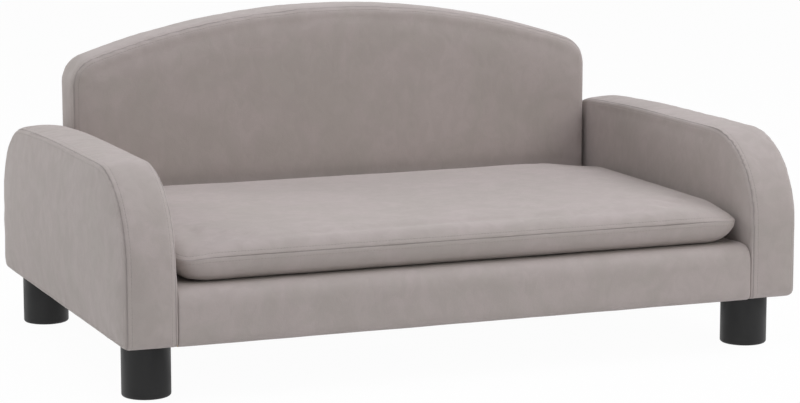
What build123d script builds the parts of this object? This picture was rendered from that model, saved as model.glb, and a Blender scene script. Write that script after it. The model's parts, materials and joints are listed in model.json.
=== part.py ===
from build123d import *
from math import sqrt
import os

# Dog sofa bed: a box base on four screwed feet, two padded arms, a padded back with
# an arched top, and a loose seat cushion with a zipped cover. The arms and the back
# are hollow plywood and pine frames, wadded, covered in fabric and bolted to the base.
# Lengths are in millimetres. The origin is on the floor, at the middle of the
# footprint. X runs to the right, Y to the back and Z up, and the front faces -Y.

os.makedirs("parts", exist_ok=True)

# Overall sizes
overall_width = 700.0
overall_depth = 460.0
back_top = 328.0
arm_top = 216.0
deck_top = 108.0
underside = 52.0

# Fabric, wadding and clearances
fabric = 1.2
dust_fabric = 0.6
fit_gap = 0.1
soft_gap = 0.3
run_gap = 0.3
cut_overrun = 20.0

# Arms
arm_width = 51.0
arm_top_radius = 89.0
arm_low_radius = 16.0
arm_edge_radius = 4.0
arm_padding = 5.0
seam_wrap_share = 0.6

# Timber and boards
board = 6.0
edge_strip = 3.0
batten = 30.0
post = 22.0
rail = 18.0
deck_board = 9.0

# Back
back_thickness = 52.0
back_overhang = 34.0
back_side_gap = 5.0
back_arch_radius = 852.0
back_corner_radius = 30.0
back_low_radius = 10.0
back_edge_radius = 6.0
back_padding = 8.0
back_edge_padding = 6.0
back_bottom_rail_height = 40.0
back_top_rail_depth = 45.0
back_post_width = 45.0
mounting_board_height = 42.0

# Base
front_edge_radius = 13.0
low_edge_radius = 3.0
deck_padding = 4.0
under_flange = 30.0
slat_width = 36.0
slat_place_share = 0.32
corner_block = 48.0
dust_cover_margin = 2.0

# Seat cushion
cushion_side_gap = 2.0
cushion_front_gap = 8.0
cushion_back_gap = 3.0
cushion_corner_radius = 28.0
cushion_low_seam = 4.0
cushion_low_draw = 5.0
cushion_top_seam = 25.0
cushion_crown = 41.0
cushion_side_draw = 2.0
cushion_front_draw = 3.0
cushion_rear_draw = 7.0

# How the crown rises from the top seam: shares of its height, and how far in from
# the seam as shares of the cushion's half depth
crown_rise_shares = (0.0, 0.46, 0.78, 0.95, 1.0)
crown_inset_shares = (0.0, 0.045, 0.165, 0.33, 0.5)
crown_corner_share = 0.55

# Zip in the rear band of the cushion
zip_end_margin = 49.0
zip_tape_width = 17.0
zip_tape_thickness = 0.8
zip_neck_width = 2.8
zip_neck_height = 1.6
zip_chain_width = 5.8
zip_chain_height = 1.5
slider_length = 12.0
slider_wall = 1.5
bail_width = 2.4
bail_bar = 1.0
bail_span = 9.6
bail_post = 1.6
pull_length = 24.0
pull_width = 7.0
pull_thickness = 1.0
pull_bar = 1.8
pull_hole_length = 4.6
slider_end_margin = 6.0

# Feet
foot_radius = 23.5
foot_side_inset = 33.0
foot_end_inset = 47.0
foot_edge_radius = 2.5
foot_top_chamfer = 0.8
foot_washer_radius = 20.0
foot_washer_thickness = 1.5

# Fasteners, all M8
thread_radius = 3.9
clear_hole_radius = 4.5
stud_length = 48.0
stud_sink = 15.5
stud_tip = 0.8
tee_flange_radius = 10.0
tee_flange_thickness = 1.5
tee_barrel_radius = 5.2
tee_barrel_length = 14.0
nut_bore_radius = 4.2
bolt_length = 50.0
bolt_head_width = 13.0
bolt_head_height = 5.3
bolt_washer_radius = 8.0
bolt_washer_thickness = 1.6
insert_radius = 6.0
insert_length = 18.0
arm_bolt_shares = (0.05, 0.5, 0.95)
back_bolt_shares = (-0.68, -0.16, 0.16, 0.68)

# Places that follow from the sizes
half_width = overall_width / 2
half_depth = overall_depth / 2
arm_inner = half_width - arm_width
core_outer = half_width - fabric - arm_padding - board
core_inner = arm_inner + fabric + board
core_width = core_outer - core_inner
strip_inset = fabric + arm_padding
board_inset = strip_inset + edge_strip + fit_gap
arm_shoulder = arm_top - arm_top_radius
frame_low = underside + fabric

back_rear = half_depth - back_overhang
back_front = back_rear - back_thickness
back_half = arm_inner - back_side_gap
back_board_inset = fabric + back_edge_padding + fit_gap
back_board_front = back_front + fabric + back_padding
back_core_front = back_board_front + board
back_core_rear = back_rear - fabric - board
back_core_depth = back_core_rear - back_core_front

rail_front = -half_depth + fabric + deck_padding
board_top = deck_top - fabric - deck_padding
board_low = board_top - deck_board
side_rail_inner = arm_inner - rail
rear_rail_front = back_front - rail
side_rail_front = rail_front + rail
side_rail_length = rear_rail_front - side_rail_front
bolt_height = frame_low + batten / 2

cushion_low = deck_top + soft_gap
cushion_half = arm_inner - cushion_side_gap
cushion_front = -half_depth + cushion_front_gap
cushion_rear = back_front - cushion_back_gap
cushion_seam = deck_top + cushion_top_seam
cushion_top = deck_top + cushion_crown
band_low = cushion_low + cushion_low_seam
zip_plane = cushion_rear - cushion_rear_draw
zip_height = (band_low + cushion_seam) / 2
zip_length = 2 * (cushion_half - cushion_corner_radius - zip_end_margin)

foot_x = half_width - foot_side_inset
foot_y = half_depth - foot_end_inset
foot_top = underside - foot_washer_thickness
rail_high = frame_low + batten
bolt_row_start = side_rail_front + corner_block + bolt_washer_radius
bolt_row_length = side_rail_length - 2 * (corner_block + bolt_washer_radius)
arm_bolt_places = [bolt_row_start + share * bolt_row_length for share in arm_bolt_shares]
back_bolt_places = [share * back_half for share in back_bolt_shares]

foot_places = {
    "front_left": (-foot_x, -foot_y),
    "front_right": (foot_x, -foot_y),
    "rear_left": (-foot_x, foot_y),
    "rear_right": (foot_x, foot_y),
}


def finish(piece, name):
    """Label a finished piece and write it."""
    piece.part.label = name
    export_step(piece.part, f"parts/{name}.step")


def finish_both_sides(piece, name):
    """Write a right-hand piece, and its mirror image as the left-hand one."""
    finish(piece, f"right_{name}")
    with BuildPart() as twin:
        mirror(piece.part, about=Plane.YZ)
    finish(twin, f"left_{name}")


def rear_plane(y):
    """A plane facing the front at the given depth, to extrude forwards from."""
    return Plane.XZ.offset(-y)


# Outlines, each in its own flat frame


def arm_outline(inset, low_inset):
    """Side outline of an arm, depth across and height up."""
    half = half_depth - inset
    low, high = underside + low_inset, arm_top - inset
    with BuildSketch() as outline:
        with BuildLine():
            Polyline((-half, low), (half, low), (half, high), (-half, high), close=True)
        make_face()
        fillet(outline.vertices().group_by(Axis.Y)[-1], radius=arm_top_radius - inset)
        fillet(outline.vertices().group_by(Axis.Y)[0], radius=arm_low_radius - inset)
    return outline.sketch


def back_outline(inset, low_inset):
    """Front outline of the back, with its arched top."""
    half = back_half - inset
    low, high = underside + low_inset, back_top - inset
    radius = back_arch_radius - inset
    shoulder = high - radius + sqrt(radius**2 - half**2)
    with BuildSketch() as outline:
        with BuildLine():
            Polyline((-half, shoulder), (-half, low), (half, low), (half, shoulder))
            ThreePointArc((half, shoulder), (0, high), (-half, shoulder))
        make_face()
        fillet(outline.vertices().group_by(Axis.Y)[-1], radius=back_corner_radius - inset)
        fillet(outline.vertices().group_by(Axis.Y)[0], radius=back_low_radius - inset)
    return outline.sketch


def base_outline(inset):
    """Side outline of the base, rounded along its front edges."""
    front, low, high = -half_depth + inset, underside + inset, deck_top - inset
    with BuildSketch() as outline:
        with BuildLine():
            Polyline(
                (front, low), (back_front, low), (back_front, high), (front, high), close=True
            )
        make_face()
        front_corners = outline.vertices().group_by(Axis.X)[0].sort_by(Axis.Y)
        fillet(front_corners[0], radius=low_edge_radius - inset)
    with BuildSketch() as rounded:
        add(outline.sketch)
        top_corner = rounded.vertices().sort_by(Axis.X).group_by(Axis.Y)[-1].sort_by(Axis.X)[0]
        fillet(top_corner, radius=front_edge_radius - inset)
    return rounded.sketch


def cushion_outline(inset, radius):
    """Plan of the cushion: round corners, and sides that are drawn in between them."""
    half, front, rear = cushion_half - inset, cushion_front + inset, cushion_rear - inset
    draw_share = 1 - inset / cushion_half
    side_in, front_in = cushion_side_draw * draw_share, cushion_front_draw * draw_share
    diagonal = radius * (1 - 1 / sqrt(2))
    zip_half = (half - radius) * zip_length / (2 * (cushion_half - cushion_corner_radius))
    zip_line = rear - cushion_rear_draw * draw_share
    with BuildSketch() as outline:
        with BuildLine():
            SagittaArc((-half + radius, front), (half - radius, front), front_in)
            ThreePointArc(
                (half - radius, front), (half - diagonal, front + diagonal), (half, front + radius)
            )
            SagittaArc((half, front + radius), (half, rear - radius), side_in)
            ThreePointArc(
                (half, rear - radius), (half - diagonal, rear - diagonal), (half - radius, rear)
            )
            Polyline(
                (half - radius, rear), (zip_half, zip_line),
                (-zip_half, zip_line), (-half + radius, rear),
            )
            ThreePointArc(
                (-half + radius, rear), (-half + diagonal, rear - diagonal), (-half, rear - radius)
            )
            SagittaArc((-half, rear - radius), (-half, front + radius), side_in)
            ThreePointArc(
                (-half, front + radius), (-half + diagonal, front + diagonal), (-half + radius, front)
            )
        make_face()
    return outline.sketch


# Rounded blocks that the covers and the wadding are cut from


def arm_block(inset):
    """The right arm's outer shape, in by the same amount all over."""
    with BuildPart() as block:
        with BuildSketch(Plane.YZ.offset(arm_inner + inset)):
            add(arm_outline(inset, inset))
        extrude(amount=arm_width - 2 * inset)
        ends = block.faces().filter_by(Axis.X)
        fillet(ends.edges(), radius=arm_edge_radius - inset)
    return block.part


def back_block(inset):
    """The back's outer shape, in by the same amount all over."""
    with BuildPart() as block:
        with BuildSketch(rear_plane(back_rear - inset)):
            add(back_outline(inset, inset))
        extrude(amount=back_thickness - 2 * inset)
        ends = block.faces().filter_by(Axis.Y)
        fillet(ends.edges(), radius=back_edge_radius - inset)
    return block.part


def crown_block(inset):
    """The cushion above its top seam, lofted from the seam to the crown."""
    half = (cushion_rear - cushion_front) / 2
    rise = cushion_top - inset - cushion_seam
    with BuildPart() as block:
        for rise_share, inset_share in zip(crown_rise_shares, crown_inset_shares):
            way_in = inset_share * half
            radius = cushion_corner_radius - inset + crown_corner_share * way_in
            with BuildSketch(Plane.XY.offset(cushion_seam + rise_share * rise)):
                add(cushion_outline(inset + way_in, radius))
        loft()
    return block.part


def foot_of_cushion_block(inset):
    """The cushion below its low seam, drawn in towards the deck."""
    with BuildPart() as block:
        with BuildSketch(Plane.XY.offset(band_low)):
            add(cushion_outline(inset, cushion_corner_radius - inset))
        with BuildSketch(Plane.XY.offset(cushion_low + inset)):
            add(cushion_outline(inset + cushion_low_draw, cushion_corner_radius - inset))
        loft(ruled=True)
    return block.part


# Arms: the right one is modelled, and the left one is its mirror image

arm_skin = arm_block(0)
arm_hollow = arm_block(fabric)
arm_filling = arm_block(fabric + fit_gap)
seam_wrap = arm_edge_radius * seam_wrap_share


def arm_cover(start, width):
    """A slice of the arm's fabric, across the arm from start."""
    with BuildPart() as cover:
        add(arm_skin)
        add(arm_hollow, mode=Mode.SUBTRACT)
        with BuildSketch(Plane.YZ.offset(start)):
            Rectangle(2 * overall_depth, 2 * back_top)
        extrude(amount=width, mode=Mode.INTERSECT)
        with Locations(*[(foot_x, y, underside) for y in (-foot_y, foot_y)]):
            Cylinder(clear_hole_radius, 2 * cut_overrun, mode=Mode.SUBTRACT)
        with Locations(
            *[Plane((arm_inner, y, bolt_height), z_dir=(1, 0, 0)) for y in arm_bolt_places]
        ):
            Cylinder(clear_hole_radius, 2 * cut_overrun, mode=Mode.SUBTRACT)
    return cover


finish_both_sides(arm_cover(arm_inner, seam_wrap), "arm_inner_cover")
finish_both_sides(
    arm_cover(arm_inner + seam_wrap, arm_width - 2 * seam_wrap), "arm_cover_band"
)
finish_both_sides(arm_cover(half_width - seam_wrap, seam_wrap), "arm_outer_cover")

with BuildPart() as arm_wadding:
    add(arm_filling)
    with BuildSketch(Plane.YZ.offset(arm_inner)):
        add(arm_outline(strip_inset, strip_inset))
    extrude(amount=core_outer + board - arm_inner, mode=Mode.SUBTRACT)
    with BuildSketch(Plane.YZ.offset(arm_inner)):
        with Locations((0, underside)):
            Rectangle(2 * overall_depth, 2 * arm_low_radius)
    extrude(amount=core_outer + board - arm_inner, mode=Mode.SUBTRACT)
finish_both_sides(arm_wadding, "arm_wadding")

with BuildPart() as arm_edge_strip:
    with BuildSketch(Plane.YZ.offset(arm_inner + fabric + fit_gap)):
        add(arm_outline(strip_inset + fit_gap, strip_inset))
        add(arm_outline(strip_inset + edge_strip, strip_inset), mode=Mode.SUBTRACT)
        with Locations((0, underside)):
            Rectangle(2 * overall_depth, 2 * arm_low_radius, mode=Mode.SUBTRACT)
    extrude(amount=core_outer + board - arm_inner - fabric - fit_gap)
finish_both_sides(arm_edge_strip, "arm_edge_strip")

with BuildPart() as arm_outer_board:
    with BuildSketch(Plane.YZ.offset(core_outer)):
        add(arm_outline(board_inset, arm_edge_radius))
    extrude(amount=board)
finish_both_sides(arm_outer_board, "arm_outer_board")

with BuildPart() as arm_inner_board:
    with BuildSketch(Plane.YZ.offset(arm_inner + fabric)):
        add(arm_outline(board_inset, arm_edge_radius))
    extrude(amount=board)
    with Locations(
        *[Plane((arm_inner, y, bolt_height), z_dir=(1, 0, 0)) for y in arm_bolt_places]
    ):
        Cylinder(clear_hole_radius, 2 * cut_overrun, mode=Mode.SUBTRACT)
finish_both_sides(arm_inner_board, "arm_inner_board")

post_outer = half_depth - board_inset
bottom_rail_half = half_depth - arm_low_radius - board_inset
top_rail_half = half_depth - arm_top_radius

with BuildPart() as arm_battens:
    core_middle = (core_inner + core_outer) / 2
    with Locations((core_middle, 0, frame_low + fit_gap)):
        Box(
            core_width, 2 * bottom_rail_half, batten - fit_gap,
            align=(Align.CENTER, Align.CENTER, Align.MIN),
        )
    with Locations((core_middle, 0, arm_top - board_inset)):
        Box(
            core_width, 2 * top_rail_half, batten,
            align=(Align.CENTER, Align.CENTER, Align.MAX),
        )
    post_low = rail_high + fit_gap
    with Locations(*[(core_middle, side * (post_outer - post / 2), post_low) for side in (-1, 1)]):
        Box(
            core_width, post, arm_shoulder - post_low,
            align=(Align.CENTER, Align.CENTER, Align.MIN),
        )
    for y in (-foot_y, foot_y):
        with Locations((foot_x, y, rail_high)):
            Cylinder(
                clear_hole_radius, batten + cut_overrun, mode=Mode.SUBTRACT,
                align=(Align.CENTER, Align.CENTER, Align.MAX),
            )
            Cylinder(
                tee_barrel_radius + fit_gap, tee_barrel_length + fit_gap, mode=Mode.SUBTRACT,
                align=(Align.CENTER, Align.CENTER, Align.MAX),
            )
    with Locations(
        *[Plane((core_inner, y, bolt_height), z_dir=(1, 0, 0)) for y in arm_bolt_places]
    ):
        Cylinder(
            insert_radius + fit_gap, core_width, mode=Mode.SUBTRACT,
            align=(Align.CENTER, Align.CENTER, Align.MIN),
        )
finish_both_sides(arm_battens, "arm_battens")

# Back

back_skin = back_block(0)
back_hollow = back_block(fabric)
back_filling = back_block(fabric + fit_gap)
back_seam_wrap = back_edge_radius * seam_wrap_share
mounting_top = underside + back_edge_radius + mounting_board_height


def back_cover(rear, depth):
    """A slice of the back's fabric, forwards from rear."""
    with BuildPart() as cover:
        add(back_skin)
        add(back_hollow, mode=Mode.SUBTRACT)
        with BuildSketch(rear_plane(rear)):
            Rectangle(2 * overall_width, 2 * back_top + cut_overrun)
        extrude(amount=depth, mode=Mode.INTERSECT)
        with Locations(
            *[Plane((x, back_front, bolt_height), z_dir=(0, 1, 0)) for x in back_bolt_places]
        ):
            Cylinder(clear_hole_radius, cut_overrun, mode=Mode.SUBTRACT)
    return cover


finish(back_cover(back_front + back_seam_wrap, back_seam_wrap), "back_front_cover")
finish(
    back_cover(back_rear - back_seam_wrap, back_thickness - 2 * back_seam_wrap),
    "back_cover_band",
)
finish(back_cover(back_rear, back_seam_wrap), "back_rear_cover")

with BuildPart() as back_wadding:
    add(back_filling)
    with BuildSketch(rear_plane(back_rear)):
        add(back_outline(back_board_inset - fit_gap, fabric))
    extrude(amount=back_rear - back_board_front, mode=Mode.SUBTRACT)
    with Locations((0, back_rear, underside)):
        Box(
            overall_width, back_rear - back_board_front, 2 * back_low_radius, mode=Mode.SUBTRACT,
            align=(Align.CENTER, Align.MAX, Align.CENTER),
        )
    with Locations((0, back_board_front, mounting_top + fit_gap)):
        Box(
            overall_width, back_padding + cut_overrun, mounting_top, mode=Mode.SUBTRACT,
            align=(Align.CENTER, Align.MAX, Align.MAX),
        )
finish(back_wadding, "back_wadding")


def back_board(front):
    """A plywood face board of the back, rearwards from front."""
    with BuildPart() as sheet:
        with BuildSketch(rear_plane(front + board)):
            add(back_outline(back_board_inset, back_edge_radius))
        extrude(amount=board)
        with Locations(
            *[Plane((x, back_front, bolt_height), z_dir=(0, 1, 0)) for x in back_bolt_places]
        ):
            Cylinder(
                clear_hole_radius, back_thickness / 2, mode=Mode.SUBTRACT,
                align=(Align.CENTER, Align.CENTER, Align.MIN),
            )
    return sheet


finish(back_board(back_board_front), "back_front_board")
finish(back_board(back_core_rear), "back_rear_board")

mounting_half = back_half - back_low_radius

with BuildPart() as back_mounting_board:
    with Locations((0, back_board_front, mounting_top)):
        Box(
            2 * mounting_half, back_padding, mounting_board_height,
            align=(Align.CENTER, Align.MAX, Align.MAX),
        )
    with Locations(
        *[Plane((x, back_front, bolt_height), z_dir=(0, 1, 0)) for x in back_bolt_places]
    ):
        Cylinder(clear_hole_radius, 2 * cut_overrun, mode=Mode.SUBTRACT)
finish(back_mounting_board, "back_mounting_board")

with BuildPart() as back_bottom_rail:
    with Locations((0, back_core_front, frame_low + fit_gap)):
        Box(
            2 * mounting_half, back_core_depth, back_bottom_rail_height - fit_gap,
            align=(Align.CENTER, Align.MIN, Align.MIN),
        )
    with Locations(
        *[Plane((x, back_core_front, bolt_height), z_dir=(0, 1, 0)) for x in back_bolt_places]
    ):
        Cylinder(
            insert_radius + fit_gap, insert_length, mode=Mode.SUBTRACT,
            align=(Align.CENTER, Align.CENTER, Align.MIN),
        )
finish(back_bottom_rail, "back_bottom_rail")

back_post_low = frame_low + back_bottom_rail_height
back_post_places = (
    -back_half + back_board_inset + back_post_width / 2,
    0,
    back_half - back_board_inset - back_post_width / 2,
)


def arch_band(outer_inset, inner_inset):
    """The region between two arches, from side to side of the back."""
    with BuildSketch() as band:
        add(back_outline(outer_inset, fabric))
        arch_low = back_top - inner_inset - back_arch_radius
        with Locations((0, arch_low)):
            Circle(back_arch_radius - fit_gap, mode=Mode.SUBTRACT)
    return band.sketch


with BuildPart() as back_top_rail:
    with BuildSketch(rear_plane(back_core_rear)):
        add(arch_band(back_board_inset, back_board_inset + back_top_rail_depth))
    extrude(amount=back_core_depth)
finish(back_top_rail, "back_top_rail")

with BuildPart() as back_posts:
    with BuildSketch(rear_plane(back_core_rear)):
        with Locations(*[(x, back_post_low) for x in back_post_places]):
            Rectangle(back_post_width, back_top, align=(Align.CENTER, Align.MIN))
        with Locations((0, back_top - back_board_inset - back_top_rail_depth - back_arch_radius)):
            Circle(back_arch_radius - soft_gap, mode=Mode.INTERSECT)
    extrude(amount=back_core_depth)
finish(back_posts, "back_posts")

# Base

with BuildPart() as base_front_rail:
    with Locations((0, rail_front, frame_low)):
        Box(2 * arm_inner, rail, board_low - frame_low, align=(Align.CENTER, Align.MIN, Align.MIN))
finish(base_front_rail, "base_front_rail")

with BuildPart() as base_rear_rail:
    with Locations((0, back_front, frame_low)):
        Box(2 * arm_inner, rail, board_low - frame_low, align=(Align.CENTER, Align.MAX, Align.MIN))
    with Locations(
        *[Plane((x, back_front, bolt_height), z_dir=(0, 1, 0)) for x in back_bolt_places]
    ):
        Cylinder(clear_hole_radius, 2 * rail + cut_overrun, mode=Mode.SUBTRACT)
finish(base_rear_rail, "base_rear_rail")

with BuildPart() as base_side_rail:
    with Locations((arm_inner, side_rail_front, frame_low)):
        Box(rail, side_rail_length, board_low - frame_low, align=(Align.MAX, Align.MIN, Align.MIN))
    with Locations(
        *[Plane((arm_inner, y, bolt_height), z_dir=(1, 0, 0)) for y in arm_bolt_places]
    ):
        Cylinder(clear_hole_radius, 2 * rail + cut_overrun, mode=Mode.SUBTRACT)
finish_both_sides(base_side_rail, "base_rail")

with BuildPart() as base_cross_slats:
    with Locations(
        *[(side * slat_place_share * arm_inner, side_rail_front, board_low) for side in (-1, 1)]
    ):
        Box(slat_width, side_rail_length, rail, align=(Align.CENTER, Align.MIN, Align.MAX))
finish(base_cross_slats, "base_cross_slats")

with BuildPart() as base_corner_blocks:
    with BuildSketch(Plane.XY.offset(frame_low)):
        with BuildLine():
            Polyline(
                (side_rail_inner, side_rail_front),
                (side_rail_inner - corner_block, side_rail_front),
                (side_rail_inner, side_rail_front + corner_block),
                close=True,
            )
        make_face()
        with BuildLine():
            Polyline(
                (side_rail_inner, rear_rail_front),
                (side_rail_inner - corner_block, rear_rail_front),
                (side_rail_inner, rear_rail_front - corner_block),
                close=True,
            )
        make_face()
        mirror(about=Plane.YZ)
    extrude(amount=board_low - frame_low)
finish(base_corner_blocks, "base_corner_blocks")

with BuildPart() as seat_board:
    with BuildSketch(Plane.YZ):
        with Locations((rail_front, board_low)):
            Rectangle(back_front - rail_front, deck_board, align=(Align.MIN, Align.MIN))
    extrude(amount=arm_inner, both=True)
    front_top_edge = seat_board.edges().filter_by(Axis.X).group_by(Axis.Z)[-1].sort_by(Axis.Y)[0]
    fillet(front_top_edge, radius=front_edge_radius - fabric - deck_padding)
finish(seat_board, "seat_board")

with BuildPart() as base_wadding:
    with BuildSketch(Plane.YZ):
        add(base_outline(fabric + fit_gap))
        with Locations((rail_front - fit_gap, board_top + fit_gap)):
            Rectangle(
                2 * overall_depth, 2 * deck_top, align=(Align.MIN, Align.MAX), mode=Mode.SUBTRACT
            )
    extrude(amount=arm_inner, both=True)
finish(base_wadding, "base_wadding")

with BuildPart() as base_cover:
    with BuildSketch(Plane.YZ):
        add(base_outline(0))
        add(base_outline(fabric), mode=Mode.SUBTRACT)
        with Locations((-half_depth + under_flange, underside)):
            Rectangle(
                overall_depth, 2 * low_edge_radius, align=(Align.MIN, Align.CENTER),
                mode=Mode.SUBTRACT,
            )
    extrude(amount=arm_inner, both=True)
finish(base_cover, "base_cover")

with BuildPart() as dust_cover:
    with Locations((0, -half_depth + under_flange + fit_gap, frame_low)):
        Box(
            2 * (arm_inner - dust_cover_margin),
            back_front - dust_cover_margin + half_depth - under_flange,
            dust_fabric,
            align=(Align.CENTER, Align.MIN, Align.MAX),
        )
finish(dust_cover, "dust_cover")

# Seat cushion

crown_skin = crown_block(0)
crown_hollow = crown_block(fabric)
crown_foam = crown_block(fabric + soft_gap)
low_skin = foot_of_cushion_block(0)
low_hollow = foot_of_cushion_block(fabric)
low_foam = foot_of_cushion_block(fabric + soft_gap)

with BuildPart() as cushion_top_cover:
    add(crown_skin)
    add(crown_hollow, mode=Mode.SUBTRACT)
finish(cushion_top_cover, "cushion_top_cover")

with BuildPart() as cushion_band:
    with BuildSketch(Plane.XY.offset(band_low)):
        add(cushion_outline(0, cushion_corner_radius))
        add(cushion_outline(fabric, cushion_corner_radius - fabric), mode=Mode.SUBTRACT)
    extrude(amount=cushion_seam - band_low)
finish(cushion_band, "cushion_band")

with BuildPart() as cushion_bottom_cover:
    add(low_skin)
    add(low_hollow, mode=Mode.SUBTRACT)
finish(cushion_bottom_cover, "cushion_bottom_cover")

with BuildPart() as cushion_foam:
    add(crown_foam)
    add(low_foam)
    with BuildSketch(Plane.XY.offset(band_low)):
        foam_inset = fabric + soft_gap
        add(cushion_outline(foam_inset, cushion_corner_radius - foam_inset))
    extrude(amount=cushion_seam - band_low)
finish(cushion_foam, "cushion_foam")

# Zip: the tape lies on the rear band, and its chain has a narrow neck that the
# slider's lips reach under

tape_face = zip_plane + zip_tape_thickness
chain_face = tape_face + zip_neck_height
chain_top = chain_face + zip_chain_height

with BuildPart() as cushion_zip_tape:
    with Locations((0, zip_plane, zip_height)):
        Box(
            zip_length, zip_tape_thickness, zip_tape_width,
            align=(Align.CENTER, Align.MIN, Align.CENTER),
        )
    with Locations((0, tape_face, zip_height)):
        Box(
            zip_length, zip_neck_height, zip_neck_width,
            align=(Align.CENTER, Align.MIN, Align.CENTER),
        )
    with Locations((0, chain_face, zip_height)):
        Box(
            zip_length, zip_chain_height, zip_chain_width,
            align=(Align.CENTER, Align.MIN, Align.CENTER),
        )
finish(cushion_zip_tape, "cushion_zip_tape")

slider_x = zip_length / 2 - pull_length - slider_end_margin
slider_low = tape_face + run_gap
slider_top = chain_top + run_gap + slider_wall
slider_width = zip_chain_width + 2 * (run_gap + slider_wall)
bail_gap = pull_thickness + 2 * run_gap
bail_top = slider_top + bail_gap + bail_bar

with BuildPart() as cushion_zip_slider:
    with Locations((slider_x, slider_low, zip_height)):
        Box(
            slider_length, slider_top - slider_low, slider_width,
            align=(Align.CENTER, Align.MIN, Align.CENTER),
        )
    outer_edges = cushion_zip_slider.edges().filter_by(Axis.Y)
    fillet(outer_edges, radius=slider_wall)
    with Locations((slider_x, chain_face - run_gap, zip_height)):
        Box(
            slider_length + cut_overrun, zip_chain_height + 2 * run_gap,
            zip_chain_width + 2 * run_gap, mode=Mode.SUBTRACT,
            align=(Align.CENTER, Align.MIN, Align.CENTER),
        )
    with Locations((slider_x, zip_plane, zip_height)):
        Box(
            slider_length + cut_overrun, chain_face - zip_plane,
            zip_neck_width + 2 * run_gap, mode=Mode.SUBTRACT,
            align=(Align.CENTER, Align.MIN, Align.CENTER),
        )
    with Locations((slider_x, slider_top, zip_height)):
        Box(
            bail_span, bail_top - slider_top, bail_width,
            align=(Align.CENTER, Align.MIN, Align.CENTER),
        )
        Box(
            bail_span - 2 * bail_post, bail_gap, bail_width, mode=Mode.SUBTRACT,
            align=(Align.CENTER, Align.MIN, Align.CENTER),
        )
finish(cushion_zip_slider, "cushion_zip_slider")

pull_low = slider_top + run_gap
pull_hole_start = slider_x + bail_span / 2 - bail_post - run_gap

with BuildPart() as cushion_zip_pull:
    with Locations((pull_hole_start - pull_bar, pull_low, zip_height)):
        Box(
            pull_length, pull_thickness, pull_width,
            align=(Align.MIN, Align.MIN, Align.CENTER),
        )
    fillet(cushion_zip_pull.edges().filter_by(Axis.Y), radius=pull_bar / 2)
    with Locations((pull_hole_start, pull_low, zip_height)):
        Box(
            pull_hole_length, pull_thickness, bail_width + 2 * run_gap, mode=Mode.SUBTRACT,
            align=(Align.MIN, Align.MIN, Align.CENTER),
        )
finish(cushion_zip_pull, "cushion_zip_pull")

# Feet: each has its own moulded-in stud, and a washer under the arm

for place, (x, y) in foot_places.items():
    with BuildPart() as foot:
        with Locations((x, y, 0)):
            Cylinder(foot_radius, foot_top, align=(Align.CENTER, Align.CENTER, Align.MIN))
        rims = foot.edges().filter_by(GeomType.CIRCLE).sort_by(Axis.Z)
        fillet(rims[0], radius=foot_edge_radius)
        chamfer(rims[-1], length=foot_top_chamfer)
        with Locations((x, y, foot_top)):
            Cylinder(
                thread_radius + fit_gap, stud_sink, mode=Mode.SUBTRACT,
                align=(Align.CENTER, Align.CENTER, Align.MAX),
            )
    finish(foot, f"{place}_foot")

    with BuildPart() as stud:
        with Locations((x, y, foot_top - stud_sink)):
            Cylinder(thread_radius, stud_length, align=(Align.CENTER, Align.CENTER, Align.MIN))
        chamfer(stud.edges().filter_by(GeomType.CIRCLE).sort_by(Axis.Z)[-1], length=stud_tip)
    finish(stud, f"{place}_foot_stud")

    with BuildPart() as washer:
        with Locations((x, y, foot_top)):
            Cylinder(
                foot_washer_radius, foot_washer_thickness,
                align=(Align.CENTER, Align.CENTER, Align.MIN),
            )
            Cylinder(
                clear_hole_radius, foot_washer_thickness, mode=Mode.SUBTRACT,
                align=(Align.CENTER, Align.CENTER, Align.MIN),
            )
    finish(washer, f"{place}_foot_washer")

with BuildPart() as foot_tee_nuts:
    with Locations(*[(x, y, rail_high) for x, y in foot_places.values()]):
        Cylinder(
            tee_flange_radius, tee_flange_thickness, align=(Align.CENTER, Align.CENTER, Align.MIN)
        )
        Cylinder(
            tee_barrel_radius, tee_barrel_length, align=(Align.CENTER, Align.CENTER, Align.MAX)
        )
        Cylinder(
            nut_bore_radius, 2 * (tee_barrel_length + cut_overrun), mode=Mode.SUBTRACT
        )
finish(foot_tee_nuts, "foot_tee_nuts")

# Bolts, washers and insert nuts: three through each side rail into the arm, and four
# through the rear rail into the back. Each place is a plane whose Z axis is the bolt's.

right_seats = [Plane((side_rail_inner, y, bolt_height), z_dir=(1, 0, 0)) for y in arm_bolt_places]
left_seats = [Plane((-side_rail_inner, y, bolt_height), z_dir=(-1, 0, 0)) for y in arm_bolt_places]
back_seats = [Plane((x, rear_rail_front, bolt_height), z_dir=(0, 1, 0)) for x in back_bolt_places]
bolt_seats = right_seats + left_seats + back_seats

with BuildPart() as frame_bolt_washers:
    with Locations(*bolt_seats):
        Cylinder(
            bolt_washer_radius, bolt_washer_thickness, align=(Align.CENTER, Align.CENTER, Align.MAX)
        )
        Cylinder(clear_hole_radius, 2 * cut_overrun, mode=Mode.SUBTRACT)
finish(frame_bolt_washers, "frame_bolt_washers")

with BuildPart() as frame_bolts:
    for seat in bolt_seats:
        under_head = seat.offset(-bolt_washer_thickness)
        with BuildSketch(under_head):
            RegularPolygon(bolt_head_width / 2, 6, major_radius=False)
        extrude(amount=-bolt_head_height)
        with BuildSketch(under_head):
            Circle(thread_radius)
        extrude(amount=bolt_length)
finish(frame_bolts, "frame_bolts")

arm_nut_offset = core_inner - side_rail_inner
back_nut_offset = back_core_front - rear_rail_front

with BuildPart() as frame_insert_nuts:
    for seats, offset_along in (
        (right_seats + left_seats, arm_nut_offset),
        (back_seats, back_nut_offset),
    ):
        for seat in seats:
            with BuildSketch(seat.offset(offset_along)):
                Circle(insert_radius)
                Circle(nut_bore_radius, mode=Mode.SUBTRACT)
            extrude(amount=insert_length)
finish(frame_insert_nuts, "frame_insert_nuts")
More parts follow.
